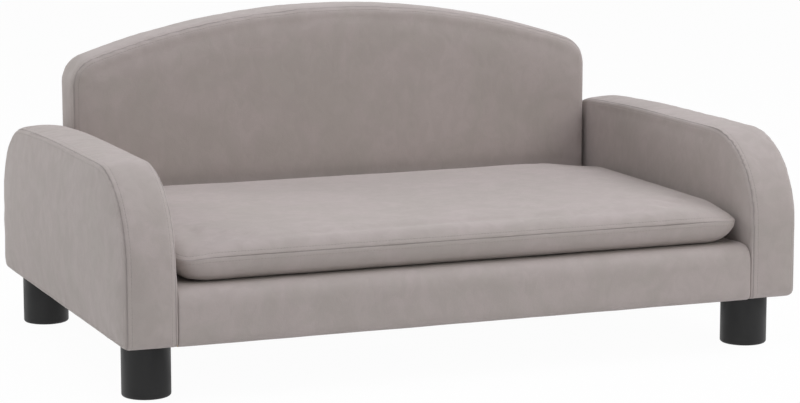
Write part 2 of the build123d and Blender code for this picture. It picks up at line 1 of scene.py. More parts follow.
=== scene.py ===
"""Upholstery, fittings, materials and stage for a small dog sofa bed."""

import json
import math
from contextlib import contextmanager

import bmesh
import bpy
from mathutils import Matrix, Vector, noise
from mathutils.kdtree import KDTree


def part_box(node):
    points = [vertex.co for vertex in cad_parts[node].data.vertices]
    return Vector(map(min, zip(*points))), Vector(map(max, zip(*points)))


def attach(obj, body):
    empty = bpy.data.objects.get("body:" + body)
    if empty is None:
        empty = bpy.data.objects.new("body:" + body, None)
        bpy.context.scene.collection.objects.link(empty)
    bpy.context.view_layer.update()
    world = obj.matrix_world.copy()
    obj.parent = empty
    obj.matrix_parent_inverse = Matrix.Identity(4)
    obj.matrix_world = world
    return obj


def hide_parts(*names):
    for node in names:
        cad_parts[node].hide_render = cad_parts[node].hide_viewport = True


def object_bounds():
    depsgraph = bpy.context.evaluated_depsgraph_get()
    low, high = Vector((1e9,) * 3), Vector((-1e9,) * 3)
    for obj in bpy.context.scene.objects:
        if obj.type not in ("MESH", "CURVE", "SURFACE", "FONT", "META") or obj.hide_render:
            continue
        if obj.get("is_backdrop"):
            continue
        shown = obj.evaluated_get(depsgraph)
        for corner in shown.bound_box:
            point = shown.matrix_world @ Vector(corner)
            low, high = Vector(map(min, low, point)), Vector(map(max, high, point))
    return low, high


bl_info = {
    "name": "Dog Sofa Bed",
    "version": (1, 0, 0),
    "blender": (4, 5, 0),
    "location": "View3D > Sidebar > Sofa Bed",
    "description": "Sewn covers, fittings, materials and stage for a dog sofa bed",
    "category": "Object",
}

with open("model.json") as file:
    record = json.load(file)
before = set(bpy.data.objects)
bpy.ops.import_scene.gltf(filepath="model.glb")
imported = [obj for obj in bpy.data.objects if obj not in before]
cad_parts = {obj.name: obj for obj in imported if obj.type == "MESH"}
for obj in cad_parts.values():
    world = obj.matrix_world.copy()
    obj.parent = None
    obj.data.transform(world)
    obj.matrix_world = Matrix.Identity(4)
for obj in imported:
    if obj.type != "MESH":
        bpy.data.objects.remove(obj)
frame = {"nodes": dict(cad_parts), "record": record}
cad_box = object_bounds()

# Lengths are in metres
mm = 0.001
sides = {"right": 1, "left": -1}
across, along, upward = Vector((1, 0, 0)), Vector((0, 1, 0)), Vector((0, 0, 1))


def span(node, axis):
    """Lowest and highest place of a node of the frame along an axis: 0, 1 or 2."""
    low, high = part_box(node)
    return low[axis], high[axis]


arm_inner, arm_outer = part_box("right_arm_inner_cover")[0].x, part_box("right_arm_outer_cover")[1].x
arm_seams = span("right_arm_cover_band", 0)
arm_front, arm_rear = span("right_arm_cover_band", 1)
underside, arm_top = span("right_arm_cover_band", 2)
back_front, back_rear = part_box("back_front_cover")[0].y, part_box("back_rear_cover")[1].y
back_seams = span("back_cover_band", 1)
back_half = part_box("back_cover_band")[1].x
back_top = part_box("back_cover_band")[1].z
mounting_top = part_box("back_mounting_board")[1].z
deck_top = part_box("base_cover")[1].z
cushion_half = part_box("cushion_bottom_cover")[1].x
cushion_front, cushion_rear = span("cushion_top_cover", 1)
cushion_seam, cushion_top = span("cushion_top_cover", 2)
cushion_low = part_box("cushion_bottom_cover")[0].z
zip_low, zip_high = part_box("cushion_zip_tape")
zip_middle = (zip_low + zip_high) / 2
zip_chain_low, zip_chain_half = zip_high.y - 1.4 * mm, 2.9 * mm
zip_face = zip_low.y + 0.8 * mm


def measure(name, description, value, unit="LENGTH"):
    """A number that the sidebar shows in its unit."""
    return bpy.props.FloatProperty(name=name, description=description, default=value, unit=unit)


def swatch(name, description, value):
    """A colour that the sidebar shows."""
    return bpy.props.FloatVectorProperty(
        name=name, description=description, default=value, subtype="COLOR", size=3,
    )


class SofaSizes(bpy.types.PropertyGroup):
    """Sizes of the upholstery that the frame doesn't give."""

    arm_top_radius: measure("Arm Top Radius", "Roll of the arm at its front and rear", 89 * mm)
    arm_low_radius: measure("Arm Low Radius", "Rounding of the arm's lower corners", 10 * mm)
    arm_edge_radius: measure(
        "Arm Edge Radius", "Softness of the edge between a panel and the band", 4 * mm,
    )
    arch_radius: measure("Arch Radius", "Radius of the arch along the top of the back", 852 * mm)
    back_corner_radius: measure("Back Corner Radius", "Rounding where the arch meets the sides", 30 * mm)
    back_low_radius: measure("Back Low Radius", "Rounding of the back's lower corners", 10 * mm)
    back_edge_radius: measure("Back Edge Radius", "Softness of the edge round the back's panels", 8 * mm)
    back_rear_edge_radius: measure(
        "Back Rear Edge Radius", "Softness of the back's edge at its rear", 5 * mm,
    )
    rail_radius: measure("Rail Radius", "Padded roll along the top of the front rail", 16 * mm)
    cushion_corner_radius: measure(
        "Cushion Corner Radius", "Rounding of the cushion's corners in plan", 20 * mm,
    )
    cushion_top_roll: measure("Cushion Top Roll", "Roll of the cushion's top edge", 15 * mm)
    cushion_low_roll: measure("Cushion Low Roll", "Roll of the cushion's lower edge", 22 * mm)
    cloth_step: measure("Cloth Step", "Width of the cloth's mesh before it is subdivided", 4 * mm)
    seam_depth: measure("Seam Depth", "How far a sewn edge is folded in", 2.4 * mm)
    pucker_depth: measure("Pucker Depth", "Depth of the small puckers beside a seam", 0.5 * mm)
    pucker_reach: measure("Pucker Reach", "How far from a seam its puckers fade out", 9 * mm)
    pucker_pitch: measure("Pucker Pitch", "Distance between puckers along a seam", 13 * mm)
    wave_height: measure("Wave Height", "Slow unevenness of the fabric over its wadding", 0.35 * mm)
    wave_pitch: measure("Wave Pitch", "Width of that unevenness", 45 * mm)
    band_fullness: measure("Band Fullness", "How far the arm's band may swell on top", 3 * mm)
    front_fullness: measure("Front Fullness", "How much further it may swell down the front", 1.8 * mm)
    rear_sink: measure("Rear Sink", "How far the arm's top edges sink towards the rear", 4 * mm)
    swell_reach: measure("Swell Reach", "How far from a seam the fabric stands nearly full", 9 * mm)
    base_gap: measure("Base Gap", "Space between the base's cover and its neighbours", 0.1 * mm)
    rail_low_radius: measure("Rail Low Radius", "Rounding of the rail's lower edge", 4 * mm)
    panel_fullness: measure("Panel Fullness", "How far the arm's and the back's panels may swell", 2 * mm)
    side_fullness: measure("Side Fullness", "How far the arm's outer panel may swell", 5 * mm)
    side_reach: measure("Side Reach", "How far from its seam that panel stands nearly full", 12 * mm)
    cushion_fullness: measure("Cushion Fullness", "How far the cushion may swell", 5 * mm)
    cloth_thickness: measure("Cloth Thickness", "Depth from the velvet's face to its wadding", 1.6 * mm)
    hem_width: measure("Hem Width", "Folded edge of the dust cover", 12 * mm)
    dust_sag: measure("Dust Cover Sag", "How far the dust cover hangs in its middle", 2.2 * mm)
    staple_pitch: measure("Staple Pitch", "Distance between the dust cover's staples", 42 * mm)
    tooth_pitch: measure("Tooth Pitch", "Distance between the zip's teeth on one side", 2.2 * mm)
    stitch_pitch: measure("Stitch Pitch", "Distance between the stitches that hold the zip", 3.6 * mm)


class SofaLook(bpy.types.PropertyGroup):
    """Colours and the light of the stage."""

    velvet: swatch("Velvet", "Colour of the covers", (0.464, 0.411, 0.381))
    foot: swatch("Feet", "Colour of the moulded feet", (0.010, 0.010, 0.0105))
    dome: measure("Dome", "Strength of the soft light from all round", 0.28, "NONE")
    overhead: measure("Overhead", "Power of the large lamp overhead", 20.0, "POWER")
    front_right: measure("Front Right", "Power of the large lamp at the front right", 12.0, "POWER")
    rear_left: measure("Rear Left", "Power of the large lamp at the rear left", 17.4, "POWER")
    right: measure("Right", "Power of the large lamp above the right", 21.6, "POWER")


# Shares


def clamped(value):
    """A value kept from 0 to 1."""
    return min(1.0, max(0.0, value))


def eased(share):
    """A share from 0 to 1 with soft ends."""
    return share * share * (3 - 2 * share)


def settled(gap, reach):
    """How nearly something has levelled off at a gap from its start, from 0 to 1."""
    return 1 - math.exp(-gap / reach)


def capped(length, most):
    """A length that levels off at the most it may be."""
    return most * math.tanh(length / most) if most > 0 else 0.0


# Modelling


def only(piece):
    """Select one object alone and make it the active one."""
    bpy.ops.object.select_all(action="DESELECT")
    piece.select_set(True)
    bpy.context.view_layer.objects.active = piece


@contextmanager
def editing(piece, kind):
    """Edit mode on one piece, with nothing in it selected."""
    only(piece)
    bpy.ops.object.mode_set(mode="EDIT")
    bpy.ops.mesh.select_mode(type=kind)
    bpy.ops.mesh.select_all(action="DESELECT")
    yield bmesh.from_edit_mesh(piece.data)
    bpy.ops.object.mode_set(mode="OBJECT")


def choose(piece, elements, wanted):
    """Select the elements that pass a test, in edit mode."""
    for element in elements:
        element.select_set(wanted(element))
    bmesh.update_edit_mesh(piece.data)


def block(name, low, high):
    """A plain block between two corners, to be shaped."""
    low, high = Vector(low), Vector(high)
    bpy.ops.object.select_all(action="DESELECT")
    bpy.ops.mesh.primitive_cube_add(size=1, location=(low + high) / 2, scale=high - low)
    piece = bpy.context.object
    piece.name = piece.data.name = name
    bpy.ops.object.transform_apply(location=True, rotation=True, scale=True)
    return piece


def level(edge, axis):
    """The place of an edge along an axis, x, y or z, if both its ends share it, else None."""
    first, second = (getattr(corner.co, axis) for corner in edge.verts)
    return first if abs(first - second) < 0.01 * mm else None


def near(place, *targets):
    """Whether a place is one of the targets."""
    return place is not None and any(abs(place - target) < 0.01 * mm for target in targets)


def round_edges(piece, wanted, radius, segments):
    """Bevel the edges that pass a test."""
    with editing(piece, "EDGE") as mesh:
        choose(piece, mesh.edges, wanted)
        bpy.ops.mesh.bevel(offset=radius, segments=segments, affect="EDGES")


def round_level(piece, radius, segments, **places):
    """Bevel the edges that lie level at one of the places given for each axis."""

    def wanted(edge):
        return all(near(level(edge, axis), *targets) for axis, targets in places.items())

    round_edges(piece, wanted, radius, segments)


def apply_modifier(piece, kind, **settings):
    """Add a modifier, set it and apply it."""
    only(piece)
    modifier = piece.modifiers.new(kind.lower(), kind)
    for name, value in settings.items():
        setattr(modifier, name, value)
    bpy.ops.object.modifier_apply(modifier=modifier.name)


def repeat_across(piece, count, pitch):
    """Repeat a piece across, once every pitch."""
    apply_modifier(
        piece, "ARRAY", count=count, use_relative_offset=False, use_constant_offset=True,
        constant_offset_displace=(pitch, 0, 0),
    )


def copy_of(piece, name):
    """A copy of a piece with its own mesh."""
    only(piece)
    bpy.ops.object.duplicate()
    copy = bpy.context.object
    copy.name = copy.data.name = name
    return copy


def weave_mesh(piece, step, smoothing):
    """Turn a block into an even mesh that cloth can be made of, laid on the block's form."""
    form = copy_of(piece, "form")
    apply_modifier(piece, "REMESH", mode="VOXEL", voxel_size=step, use_smooth_shade=True)
    apply_modifier(piece, "SMOOTH", factor=0.5, iterations=smoothing)
    apply_modifier(piece, "SHRINKWRAP", target=form)
    bpy.data.objects.remove(form)


def cut_plane(place, normal, **settings):
    """In edit mode, cut all of a piece with a plane."""
    bpy.ops.mesh.select_all(action="SELECT")
    bpy.ops.mesh.bisect(plane_co=place, plane_no=normal, **settings)


def cut_ring(piece, place, normal, step):
    """Cut a ring of edges round a shell where a plane crosses it, for a seam."""
    with editing(piece, "EDGE"):
        cut_plane(place * normal, normal, threshold=0.25 * step)
    mesh = bmesh.new()
    mesh.from_mesh(piece.data)
    for edge in mesh.edges:
        if len({face.calc_center_median().dot(normal) > place for face in edge.link_faces}) == 2:
            for corner in edge.verts:
                corner.co -= normal * (corner.co.dot(normal) - place)
    mesh.to_mesh(piece.data)
    mesh.free()


def mark_panels(shell, tests):
    """Number each face by the first test that its middle passes."""
    for face in shell.data.polygons:
        face.material_index = next(n for n, test in enumerate(tests) if test(face.center))


def seam_edges(mesh):
    """The edges between faces of different panels, and each end's seam edges."""
    found, ends = {}, {}
    for edge in mesh.edges:
        if len({face.material_index for face in edge.link_faces}) == 2:
            found[edge.index] = edge
            for corner in edge.verts:
                ends.setdefault(corner.index, []).append(edge)
    return found, ends


class Seams:
    """Where a shell's seams run, with the way out and the length run at each point."""

    def __init__(self, shell, shares=(0, 0.25, 0.5, 0.75)):
        mesh = bmesh.new()
        mesh.from_mesh(shell.data)
        mesh.verts.ensure_lookup_table()
        left, ends = seam_edges(mesh)
        points, self.normals, self.runs = [], [], []
        while left:
            corner = min((edge.verts[0] for edge in left.values()), key=lambda c: (c.co.z, c.co.y))
            run = 0.0
            while True:
                edge = next((e for e in ends[corner.index] if e.index in left), None)
                if edge is None:
                    break
                del left[edge.index]
                other, length = edge.other_vert(corner), edge.calc_length()
                for share in shares:
                    points.append(corner.co.lerp(other.co, share))
                    self.normals.append(corner.normal.lerp(other.normal, share).normalized())
                    self.runs.append(run + share * length)
                corner, run = other, run + length
        mesh.free()
        self.tree = KDTree(len(points))
        for index, point in enumerate(points):
            self.tree.insert(point, index)
        self.tree.balance()

    def nearest(self, place):
        """The nearest point of a seam, the way out there, the length run and the gap to it."""
        point, index, gap = self.tree.find(place)
        return point, self.normals[index], self.runs[index], gap


def swell(shell, pressure, ease, held, room, frames=14):
    """Blow a shell up as cloth over its frame, with its band cut larger by a share: the ease.
    Its seams and its held points stay, and no other point moves in, or out by more than its
    room."""
    seam_hold, slide_share = 1.5 * mm, 0.3
    seams = Seams(shell)
    start = [corner.co.copy() for corner in shell.data.vertices]
    normals = [corner.normal.copy() for corner in shell.data.vertices]
    gaps = [seams.nearest(place)[3] for place in start]
    fixed = [held(place) or gap < seam_hold for place, gap in zip(start, gaps)]
    limits = [0 if stays else room(place, gap) for stays, place, gap in zip(fixed, start, gaps)]
    only(shell)
    group = shell.vertex_groups.new(name="held")
    group.add([index for index, stays in enumerate(fixed) if stays], 1.0, "REPLACE")
    on_panels = {
        index for face in shell.data.polygons if face.material_index < 2
        for index in face.vertices
    }
    fitted = shell.vertex_groups.new(name="fitted")
    fitted.add(list(on_panels), 1.0, "REPLACE")
    cloth = shell.modifiers.new("cloth", "CLOTH")
    cloth.settings.vertex_group_mass = group.name
    cloth.settings.use_pressure = True
    cloth.settings.uniform_pressure_force = pressure
    cloth.settings.vertex_group_shrink = fitted.name
    cloth.settings.shrink_min = -ease
    cloth.settings.compression_stiffness = 1.0
    cloth.settings.effector_weights.gravity = 0
    cloth.collision_settings.use_collision = False
    cloth.point_cache.frame_end = frames
    for number in range(1, frames + 1):
        bpy.context.scene.frame_set(number)
    bpy.ops.object.modifier_apply(modifier=cloth.name)
    bpy.context.scene.frame_set(1)
    shell.vertex_groups.clear()
    for corner, place, normal, limit in zip(shell.data.vertices, start, normals, limits):
        move = corner.co - place
        rise = move.dot(normal)
        slide = move - normal * rise
        slide_length = capped(slide.length, slide_share * limit)
        corner.co = place + normal * capped(max(0.0, rise), limit)
        corner.co += slide.normalized() * slide_length


def pad_under(shell, name, sizes, thickness, kept):
    """Wadding under the cloth of a shell, where a test keeps it. With no thickness it is solid."""
    pad = copy_of(shell, name)
    normals = [corner.normal.copy() for corner in pad.data.vertices]
    for corner, normal in zip(pad.data.vertices, normals):
        corner.co -= normal * sizes.cloth_thickness
    with editing(pad, "FACE") as mesh:
        choose(pad, mesh.faces, lambda face: not kept(face))
        bpy.ops.mesh.delete(type="FACE")
    if thickness:
        apply_modifier(pad, "SOLIDIFY", thickness=thickness, offset=-1)
    return pad


def part_panels(shell, names):
    """Cut a shell into its panels at the seams. Returns them by name."""
    pieces = {}
    for number, name in enumerate(names[:-1]):
        with editing(shell, "FACE") as mesh:
            choose(shell, mesh.faces, lambda face: face.material_index == number)
            bpy.ops.mesh.separate(type="SELECTED")
        pieces[name] = next(o for o in bpy.context.selected_objects if o is not shell)
    pieces[names[-1]] = shell
    for name, piece in pieces.items():
        piece.name = piece.data.name = name
    return pieces


def keep_values(mesh, **values):
    """Keep numbers for the points of a mesh, for its material to read."""
    for name, numbers in values.items():
        mesh.attributes.new(name, "FLOAT", "POINT").data.foreach_set("value", numbers)


def soften(piece, seams, sizes, seed):
    """Note each point's place from the seams, and move it as loose fabric beside a seam lies."""
    mesh = piece.data
    offset = Vector((seed, 2 * seed, 3 * seed))
    gaps, runs, moves = [], [], []
    for corner in mesh.vertices:
        point, _, run, gap = seams.nearest(corner.co)
        ripple = noise.noise(point / sizes.pucker_pitch + offset)
        swing = 0.6 + 1.2 * noise.noise(point / (6 * sizes.pucker_pitch) - offset)
        beside = math.exp(-gap / sizes.pucker_reach) * settled(gap, sizes.seam_depth)
        slow = noise.noise(corner.co / sizes.wave_pitch + offset)
        height = 3 * sizes.pucker_depth * ripple * swing * beside + sizes.wave_height * slow
        moves.append(corner.normal * height)
        gaps.append(gap)
        runs.append(run)
    keep_values(mesh, seam_gap=gaps, seam_run=runs)
    for corner, move in zip(mesh.vertices, moves):
        corner.co += move


def extruded_rim(piece, mesh, crease=0.0):
    """In edit mode, extrude the open edges of a piece, and yield each new corner to be moved."""
    choose(piece, mesh.edges, lambda edge: edge.is_boundary)
    if crease:
        bpy.ops.transform.edge_crease(value=crease)
    bpy.ops.mesh.extrude_edges_move()
    mesh = bmesh.from_edit_mesh(piece.data)
    for corner in mesh.verts:
        if corner.select:
            yield corner
    bmesh.update_edit_mesh(piece.data)


def fold_edges(piece, seams, depth, crease):
    """Fold the open edges of a panel in, as the sewn allowance is."""
    with editing(piece, "EDGE") as mesh:
        for corner in extruded_rim(piece, mesh, crease):
            corner.co -= seams.nearest(corner.co)[1] * depth


def sew(shell, panels, sizes, seed, body="root", crease=0.8):
    """Part a shell into its panels, given in order with the nodes that they stand for, and
    fold, pucker and subdivide each one."""
    seams = Seams(shell)
    pieces = part_panels(shell, list(panels))
    for number, (name, piece) in enumerate(pieces.items()):
        soften(piece, seams, sizes, seed + 3.1 * number)
        fold_edges(piece, seams, sizes.seam_depth, crease)
        apply_modifier(piece, "SUBSURF", levels=1, render_levels=1)
        complete(piece, body, "velvet", [panels[name]])


def cover_with(piece, name):
    """Give a piece one material by name, and smooth shading."""
    piece.data.materials.clear()
    piece.data.materials.append(bpy.data.materials[name])
    for face in piece.data.polygons:
        face.material_index = 0
    only(piece)
    bpy.ops.object.shade_smooth()


def complete(piece, body, slot, nodes=(), look=None):
    """Give a piece its look, hang it on the body that it rides on, and hide the frame's nodes that it
    stands for. Its look is the slot's own unless another is named."""
    cover_with(piece, look or slot)
    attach(piece, body)
    if nodes:
        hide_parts(*nodes)


# The shapes of the sofa


def arm_shell(sizes):
    """The right arm as one closed shell of cloth, with its seam rings cut."""
    slack = Vector((0.3 * mm, 0.4 * mm, 0))
    low = Vector((arm_inner, arm_front, underside)) + slack
    high = Vector((arm_outer, arm_rear, arm_top - slack.y)) - slack
    arm = block("arm_shell", low, high)
    round_level(arm, sizes.arm_top_radius, 18, y=(low.y, high.y), z=(high.z,))
    round_level(arm, sizes.arm_low_radius, 6, y=(low.y, high.y), z=(low.z,))
    round_level(arm, sizes.arm_edge_radius, 4, x=(low.x, high.x))
    weave_mesh(arm, sizes.cloth_step, 3)
    for corner in arm.data.vertices:
        corner.co = tighten_beside_rail(corner.co, low, sizes)
        corner.co.z -= sink_at_rear(corner.co, sizes)
    for place in arm_seams:
        cut_ring(arm, place, across, sizes.cloth_step)
    inner, outer = arm_seams
    mark_panels(arm, (lambda c: c.x < inner, lambda c: c.x > outer, lambda c: True))
    return arm


def above_deck(place):
    """How high a place lies from the deck to the arm's top, from 0 to 1."""
    return clamped((place.z - deck_top) / (arm_top - deck_top))


def sink_at_rear(place, sizes):
    """How far the top of the arm's frame lies lower here than at its front."""
    back = clamped(place.y / (arm_rear - sizes.arm_top_radius))
    return sizes.rear_sink * back * back * above_deck(place)


def tighten_beside_rail(place, low, sizes):
    """Draw the arm's rounded edge tight where the rail's end meets it, low at the front."""
    radius, tight = sizes.arm_edge_radius, 0.9 * mm
    fade_from, fade_to = deck_top - 12 * mm, deck_top + 22 * mm
    share = eased(clamped((fade_to - place.z) / (fade_to - fade_from)))
    depths = [place.x - low.x, place.y - low.y]
    if max(depths) > 2 * radius:
        return place
    for axis, depth in enumerate(depths):
        if depth < radius:
            drawn = depth * tight / radius
        else:
            drawn = tight + (depth - radius) * (2 * radius - tight) / radius
        depths[axis] = depth + (drawn - depth) * share
    return Vector((low.x + depths[0], low.y + depths[1], place.z))


def arm_held(place):
    """Where the arm's cover lies tight: against the base, and underneath."""
    against_base = place.x < arm_inner + 2 * mm and place.z < deck_top
    return against_base or place.z < underside + 2 * mm


def arm_is_wadded(face):
    """The arm's wadding lies on its outer side and round its edge, above the underside, but
    not where the rail's end meets the arm."""
    middle = face.calc_center_median()
    bare_width, bare_height, bare_foot = 9 * mm, 24 * mm, 8 * mm
    beside_rail = middle.x < arm_inner + bare_width and middle.z < deck_top + bare_height
    return face.normal.x > -0.8 and not beside_rail and middle.z > underside + bare_foot


def mirror_across(piece):
    """Make a right-hand piece a left-hand one."""
    only(piece)
    bpy.ops.transform.mirror(constraint_axis=(True, False, False), center_override=(0, 0, 0))
    bpy.ops.object.transform_apply(location=True, rotation=True, scale=True)
    with editing(piece, "FACE"):
        bpy.ops.mesh.select_all(action="SELECT")
        bpy.ops.mesh.normals_make_consistent(inside=False)


def arch_height(x, sizes):
    """Height of the back's outline at a place across: the arch, then the round corner."""
    radius, corner = sizes.arch_radius, sizes.back_corner_radius
    centre = back_top - radius
    corner_x = back_half - corner
    corner_z = centre + math.sqrt((radius - corner) ** 2 - corner_x**2)
    meeting = corner_x * radius / (radius - corner)
    if abs(x) <= meeting:
        return centre + math.sqrt(radius**2 - x**2)
    return corner_z + math.sqrt(max(0.0, corner**2 - (abs(x) - corner_x) ** 2))


def back_shell(sizes):
    """The back as one closed shell of cloth, with its seam rings cut."""
    corner = sizes.back_corner_radius
    slack = Vector((0.9, 0.4, 1.8)) * mm
    low = Vector((-back_half, back_front, underside))
    high = Vector((back_half, back_rear, back_top))
    back = block("back_shell", low, high)
    corner_turns = [math.radians(angle) for angle in range(24, 90, 11)]
    cuts = [(back_half - corner) * share / 20 for share in range(-20, 21)]
    cuts += [
        side * (back_half - corner * (1 - math.sin(turn)))
        for turn in corner_turns for side in (-1, 1)
    ]
    with editing(back, "EDGE"):
        for cut in cuts:
            cut_plane((cut, 0, 0), across)
    for point in back.data.vertices:
        if point.co.z > high.z - 0.01 * mm:
            point.co.z = arch_height(point.co.x, sizes) - slack.z
        point.co.x *= 1 - slack.x / back_half
        point.co.y += slack.y if point.co.y < back_seams[0] else -slack.y
    low, high = low + slack, high - slack
    low.z = underside
    round_level(back, sizes.back_low_radius, 5, x=(low.x, high.x), z=(low.z,))
    for place, radius in (
        (low.y, sizes.back_edge_radius), (high.y, sizes.back_rear_edge_radius),
    ):
        round_edges(
            back,
            lambda edge: near(level(edge, "y"), place) and not near(level(edge, "z"), low.z)
            and len(edge.link_faces) == 2 and edge.calc_face_angle(0) > math.radians(60),
            radius, 4,
        )
    weave_mesh(back, sizes.cloth_step, 3)
    for place in back_seams:
        cut_ring(back, place, along, sizes.cloth_step)
    front, rear = back_seams
    mark_panels(back, (lambda c: c.y < front, lambda c: c.y > rear, lambda c: True))
    return back


def back_held(place):
    """Where the back's cover lies tight: behind the cushion and the base, and underneath."""
    behind_cushion = place.y < back_front + 2 * mm and place.z < cushion_top - 4 * mm
    return behind_cushion or place.z < underside + 2 * mm


def back_is_wadded(face):
    """The back's wadding lies on its front, above the board that bolts to the base, and round
    its edge."""
    middle = face.calc_center_median()
    bare_depth, bare_foot = 12 * mm, 12 * mm
    over_board = middle.y > back_front + bare_depth or middle.z > mounting_top
    return face.normal.y < 0.8 and over_board and middle.z > underside + bare_foot


def taper_corners(place, share=0.86, falloff=1.3):
    """Draw the cushion's corners in to a thin pillow edge, more bluntly from below."""
    reach = (66 if place.z > cushion_seam else 34) * mm
    middle_y = (cushion_front + cushion_rear) / 2
    half_depth = (cushion_rear - cushion_front) / 2
    pinch = cushion_seam - 4 * mm
    out = clamped((abs(place.x) - cushion_half + reach) / reach)
    away = clamped((abs(place.y - middle_y) - half_depth + reach) / reach)
    pull = share * out**falloff * away**falloff
    return Vector((place.x, place.y, place.z + (pinch - place.z) * pull))


def rear_limit(x, z):
    """How far back the cushion may reach: less where the zip lies."""
    free, at_zip = cushion_rear - 0.3 * mm, zip_low.y - 0.8 * mm
    if z > cushion_seam + 6 * mm:
        return free
    run_out = 40 * mm
    return at_zip + (free - at_zip) * eased(clamped((abs(x) - zip_high.x) / run_out))


def cushion_shell(sizes):
    """The cushion as one closed shell of cloth, with its seam rings cut."""
    slack, top_share = 0.6 * sizes.cushion_fullness, 1.6
    low = Vector((-cushion_half + slack, cushion_front + slack, cushion_low))
    high = Vector((cushion_half - slack, cushion_rear - slack, cushion_top - top_share * slack))
    cushion = block("cushion_shell", low, high)
    round_level(cushion, sizes.cushion_corner_radius, 8, x=(low.x, high.x), y=(low.y, high.y))
    round_level(cushion, sizes.cushion_top_roll, 5, z=(high.z,))
    round_level(cushion, sizes.cushion_low_roll, 4, z=(low.z,))
    weave_mesh(cushion, sizes.cloth_step * 1.15, 4)
    low_seam = cushion_low + 1.2 * mm
    for place in (low_seam, cushion_seam):
        cut_ring(cushion, place, upward, sizes.cloth_step)
    mark_panels(
        cushion, (lambda c: c.z > cushion_seam, lambda c: c.z < low_seam, lambda c: True),
    )
    for point in cushion.data.vertices:
        point.co = taper_corners(point.co)
    return cushion


def base_shell(sizes):
    """The base's cover as an open shell: the front rail, the deck and a flange underneath."""
    spare = 30 * mm
    low = Vector((-arm_inner - spare, arm_front, underside))
    high = Vector((arm_inner + spare, back_front + spare, deck_top))
    base = block("base_panel", low, high)
    round_level(base, sizes.rail_radius, 8, y=(low.y,), z=(high.z,))
    round_level(base, sizes.rail_low_radius, 3, y=(low.y,), z=(low.z,))
    weave_mesh(base, sizes.cloth_step * 1.6, 2)
    cuts = (
        ((arm_inner + sizes.base_gap) * across, across),
        (-(arm_inner + sizes.base_gap) * across, -across),
        ((back_front - sizes.base_gap) * along, along),
    )
    with editing(base, "EDGE"):
        for place, normal in cuts:
            cut_plane(place, normal, clear_outer=True)
    flange_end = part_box("dust_cover")[0].y - sizes.base_gap
    cut_ring(base, flange_end, along, sizes.cloth_step)
    with editing(base, "FACE") as mesh:
        choose(
            base, mesh.faces,
            lambda face: face.calc_center_median().y > flange_end
            and face.calc_center_median().z < underside + 5 * mm,
        )
        bpy.ops.mesh.delete(type="FACE")
    return base


def base_is_wadded(face):
    """The base's wadding lies on its deck and its rail, inside the turned-in ends."""
    middle = face.calc_center_median()
    return middle.z > underside + 5 * mm and abs(middle.x) < arm_inner - 6 * mm


def turn_in_rim(piece, deep, shallow):
    """Turn the open rim of the base's cover in behind its face: deep between the base and the
    arms, and shallow elsewhere."""
    with editing(piece, "EDGE") as mesh:
        ways = {}
        for corner in mesh.verts:
            if corner.is_boundary:
                depth = deep if abs(corner.co.x) > arm_inner else shallow
                ways[corner.co.to_tuple(6)] = corner.normal * depth
        for corner in extruded_rim(piece, mesh):
            corner.co -= ways[corner.co.to_tuple(6)]


def lengthwise(piece, low, high, step):
    """Cut a piece across its length every step, from low to high."""
    with editing(piece, "EDGE"):
        for number in range(1, round((high - low) / step)):
            cut_plane((low + number * step, 0, 0), across)


def joined(pieces, name):
    """Join pieces into one object."""
    bpy.ops.object.select_all(action="DESELECT")
    for piece in pieces:
        piece.select_set(True)
    bpy.context.view_layer.objects.active = pieces[0]
    bpy.ops.object.join()
    pieces[0].name = pieces[0].data.name = name
    return pieces[0]


def zip_strip(low, high):
    """One woven side of the zip's tape, a little uneven along its length."""
    strip = block("strip", low, high)
    lengthwise(strip, low[0], high[0], 11 * mm)
    for point in strip.data.vertices:
        outer = abs(point.co.z - zip_middle.z) > 4 * mm
        wave = noise.noise(Vector((point.co.x / (22 * mm), point.co.z / (9 * mm), 3.3)))
        point.co.y += 0.12 * mm * wave
        point.co.z += 0.25 * mm * wave if outer else 0
    round_edges(strip, lambda edge: edge.calc_length() > 8 * mm, 0.25 * mm, 1)
    return strip


def zip_row(sizes, side):
    """A row of coil teeth along one side of the zip, modelled once and repeated."""
    pitch = sizes.tooth_pitch
    end = zip_high.x - 2 * mm
    count = int(2 * end / pitch) - 1
    start = -end + (0.5 + 0.25 * side) * pitch
    reach = (zip_chain_half - 0.1 * mm) * side
    inner = -1.0 * mm * side
    tooth = block(
        "tooth",
        (start - 0.3 * pitch, zip_chain_low, zip_middle.z + min(inner, reach)),
        (start + 0.3 * pitch, zip_high.y - 0.1 * mm, zip_middle.z + max(inner, reach)),
    )
    round_level(tooth, 0.45 * mm, 2, y=(zip_high.y - 0.1 * mm,))
    repeat_across(tooth, count, pitch)
    return tooth


def zip_stitching(sizes, height):
    """A row of short threads that hold the tape, modelled once and repeated."""
    pitch = sizes.stitch_pitch
    half_length, half_width = 0.36 * pitch, 0.22 * mm
    thread = block(
        "thread",
        (-zip_high.x + pitch - half_length, zip_face - 0.15 * mm, height - half_width),
        (-zip_high.x + pitch + half_length, zip_face + 0.3 * mm, height + half_width),
    )
    round_level(thread, 0.2 * mm, 1, y=(zip_face + 0.3 * mm,))
    repeat_across(thread, int(2 * zip_high.x / pitch) - 1, pitch)
    return thread


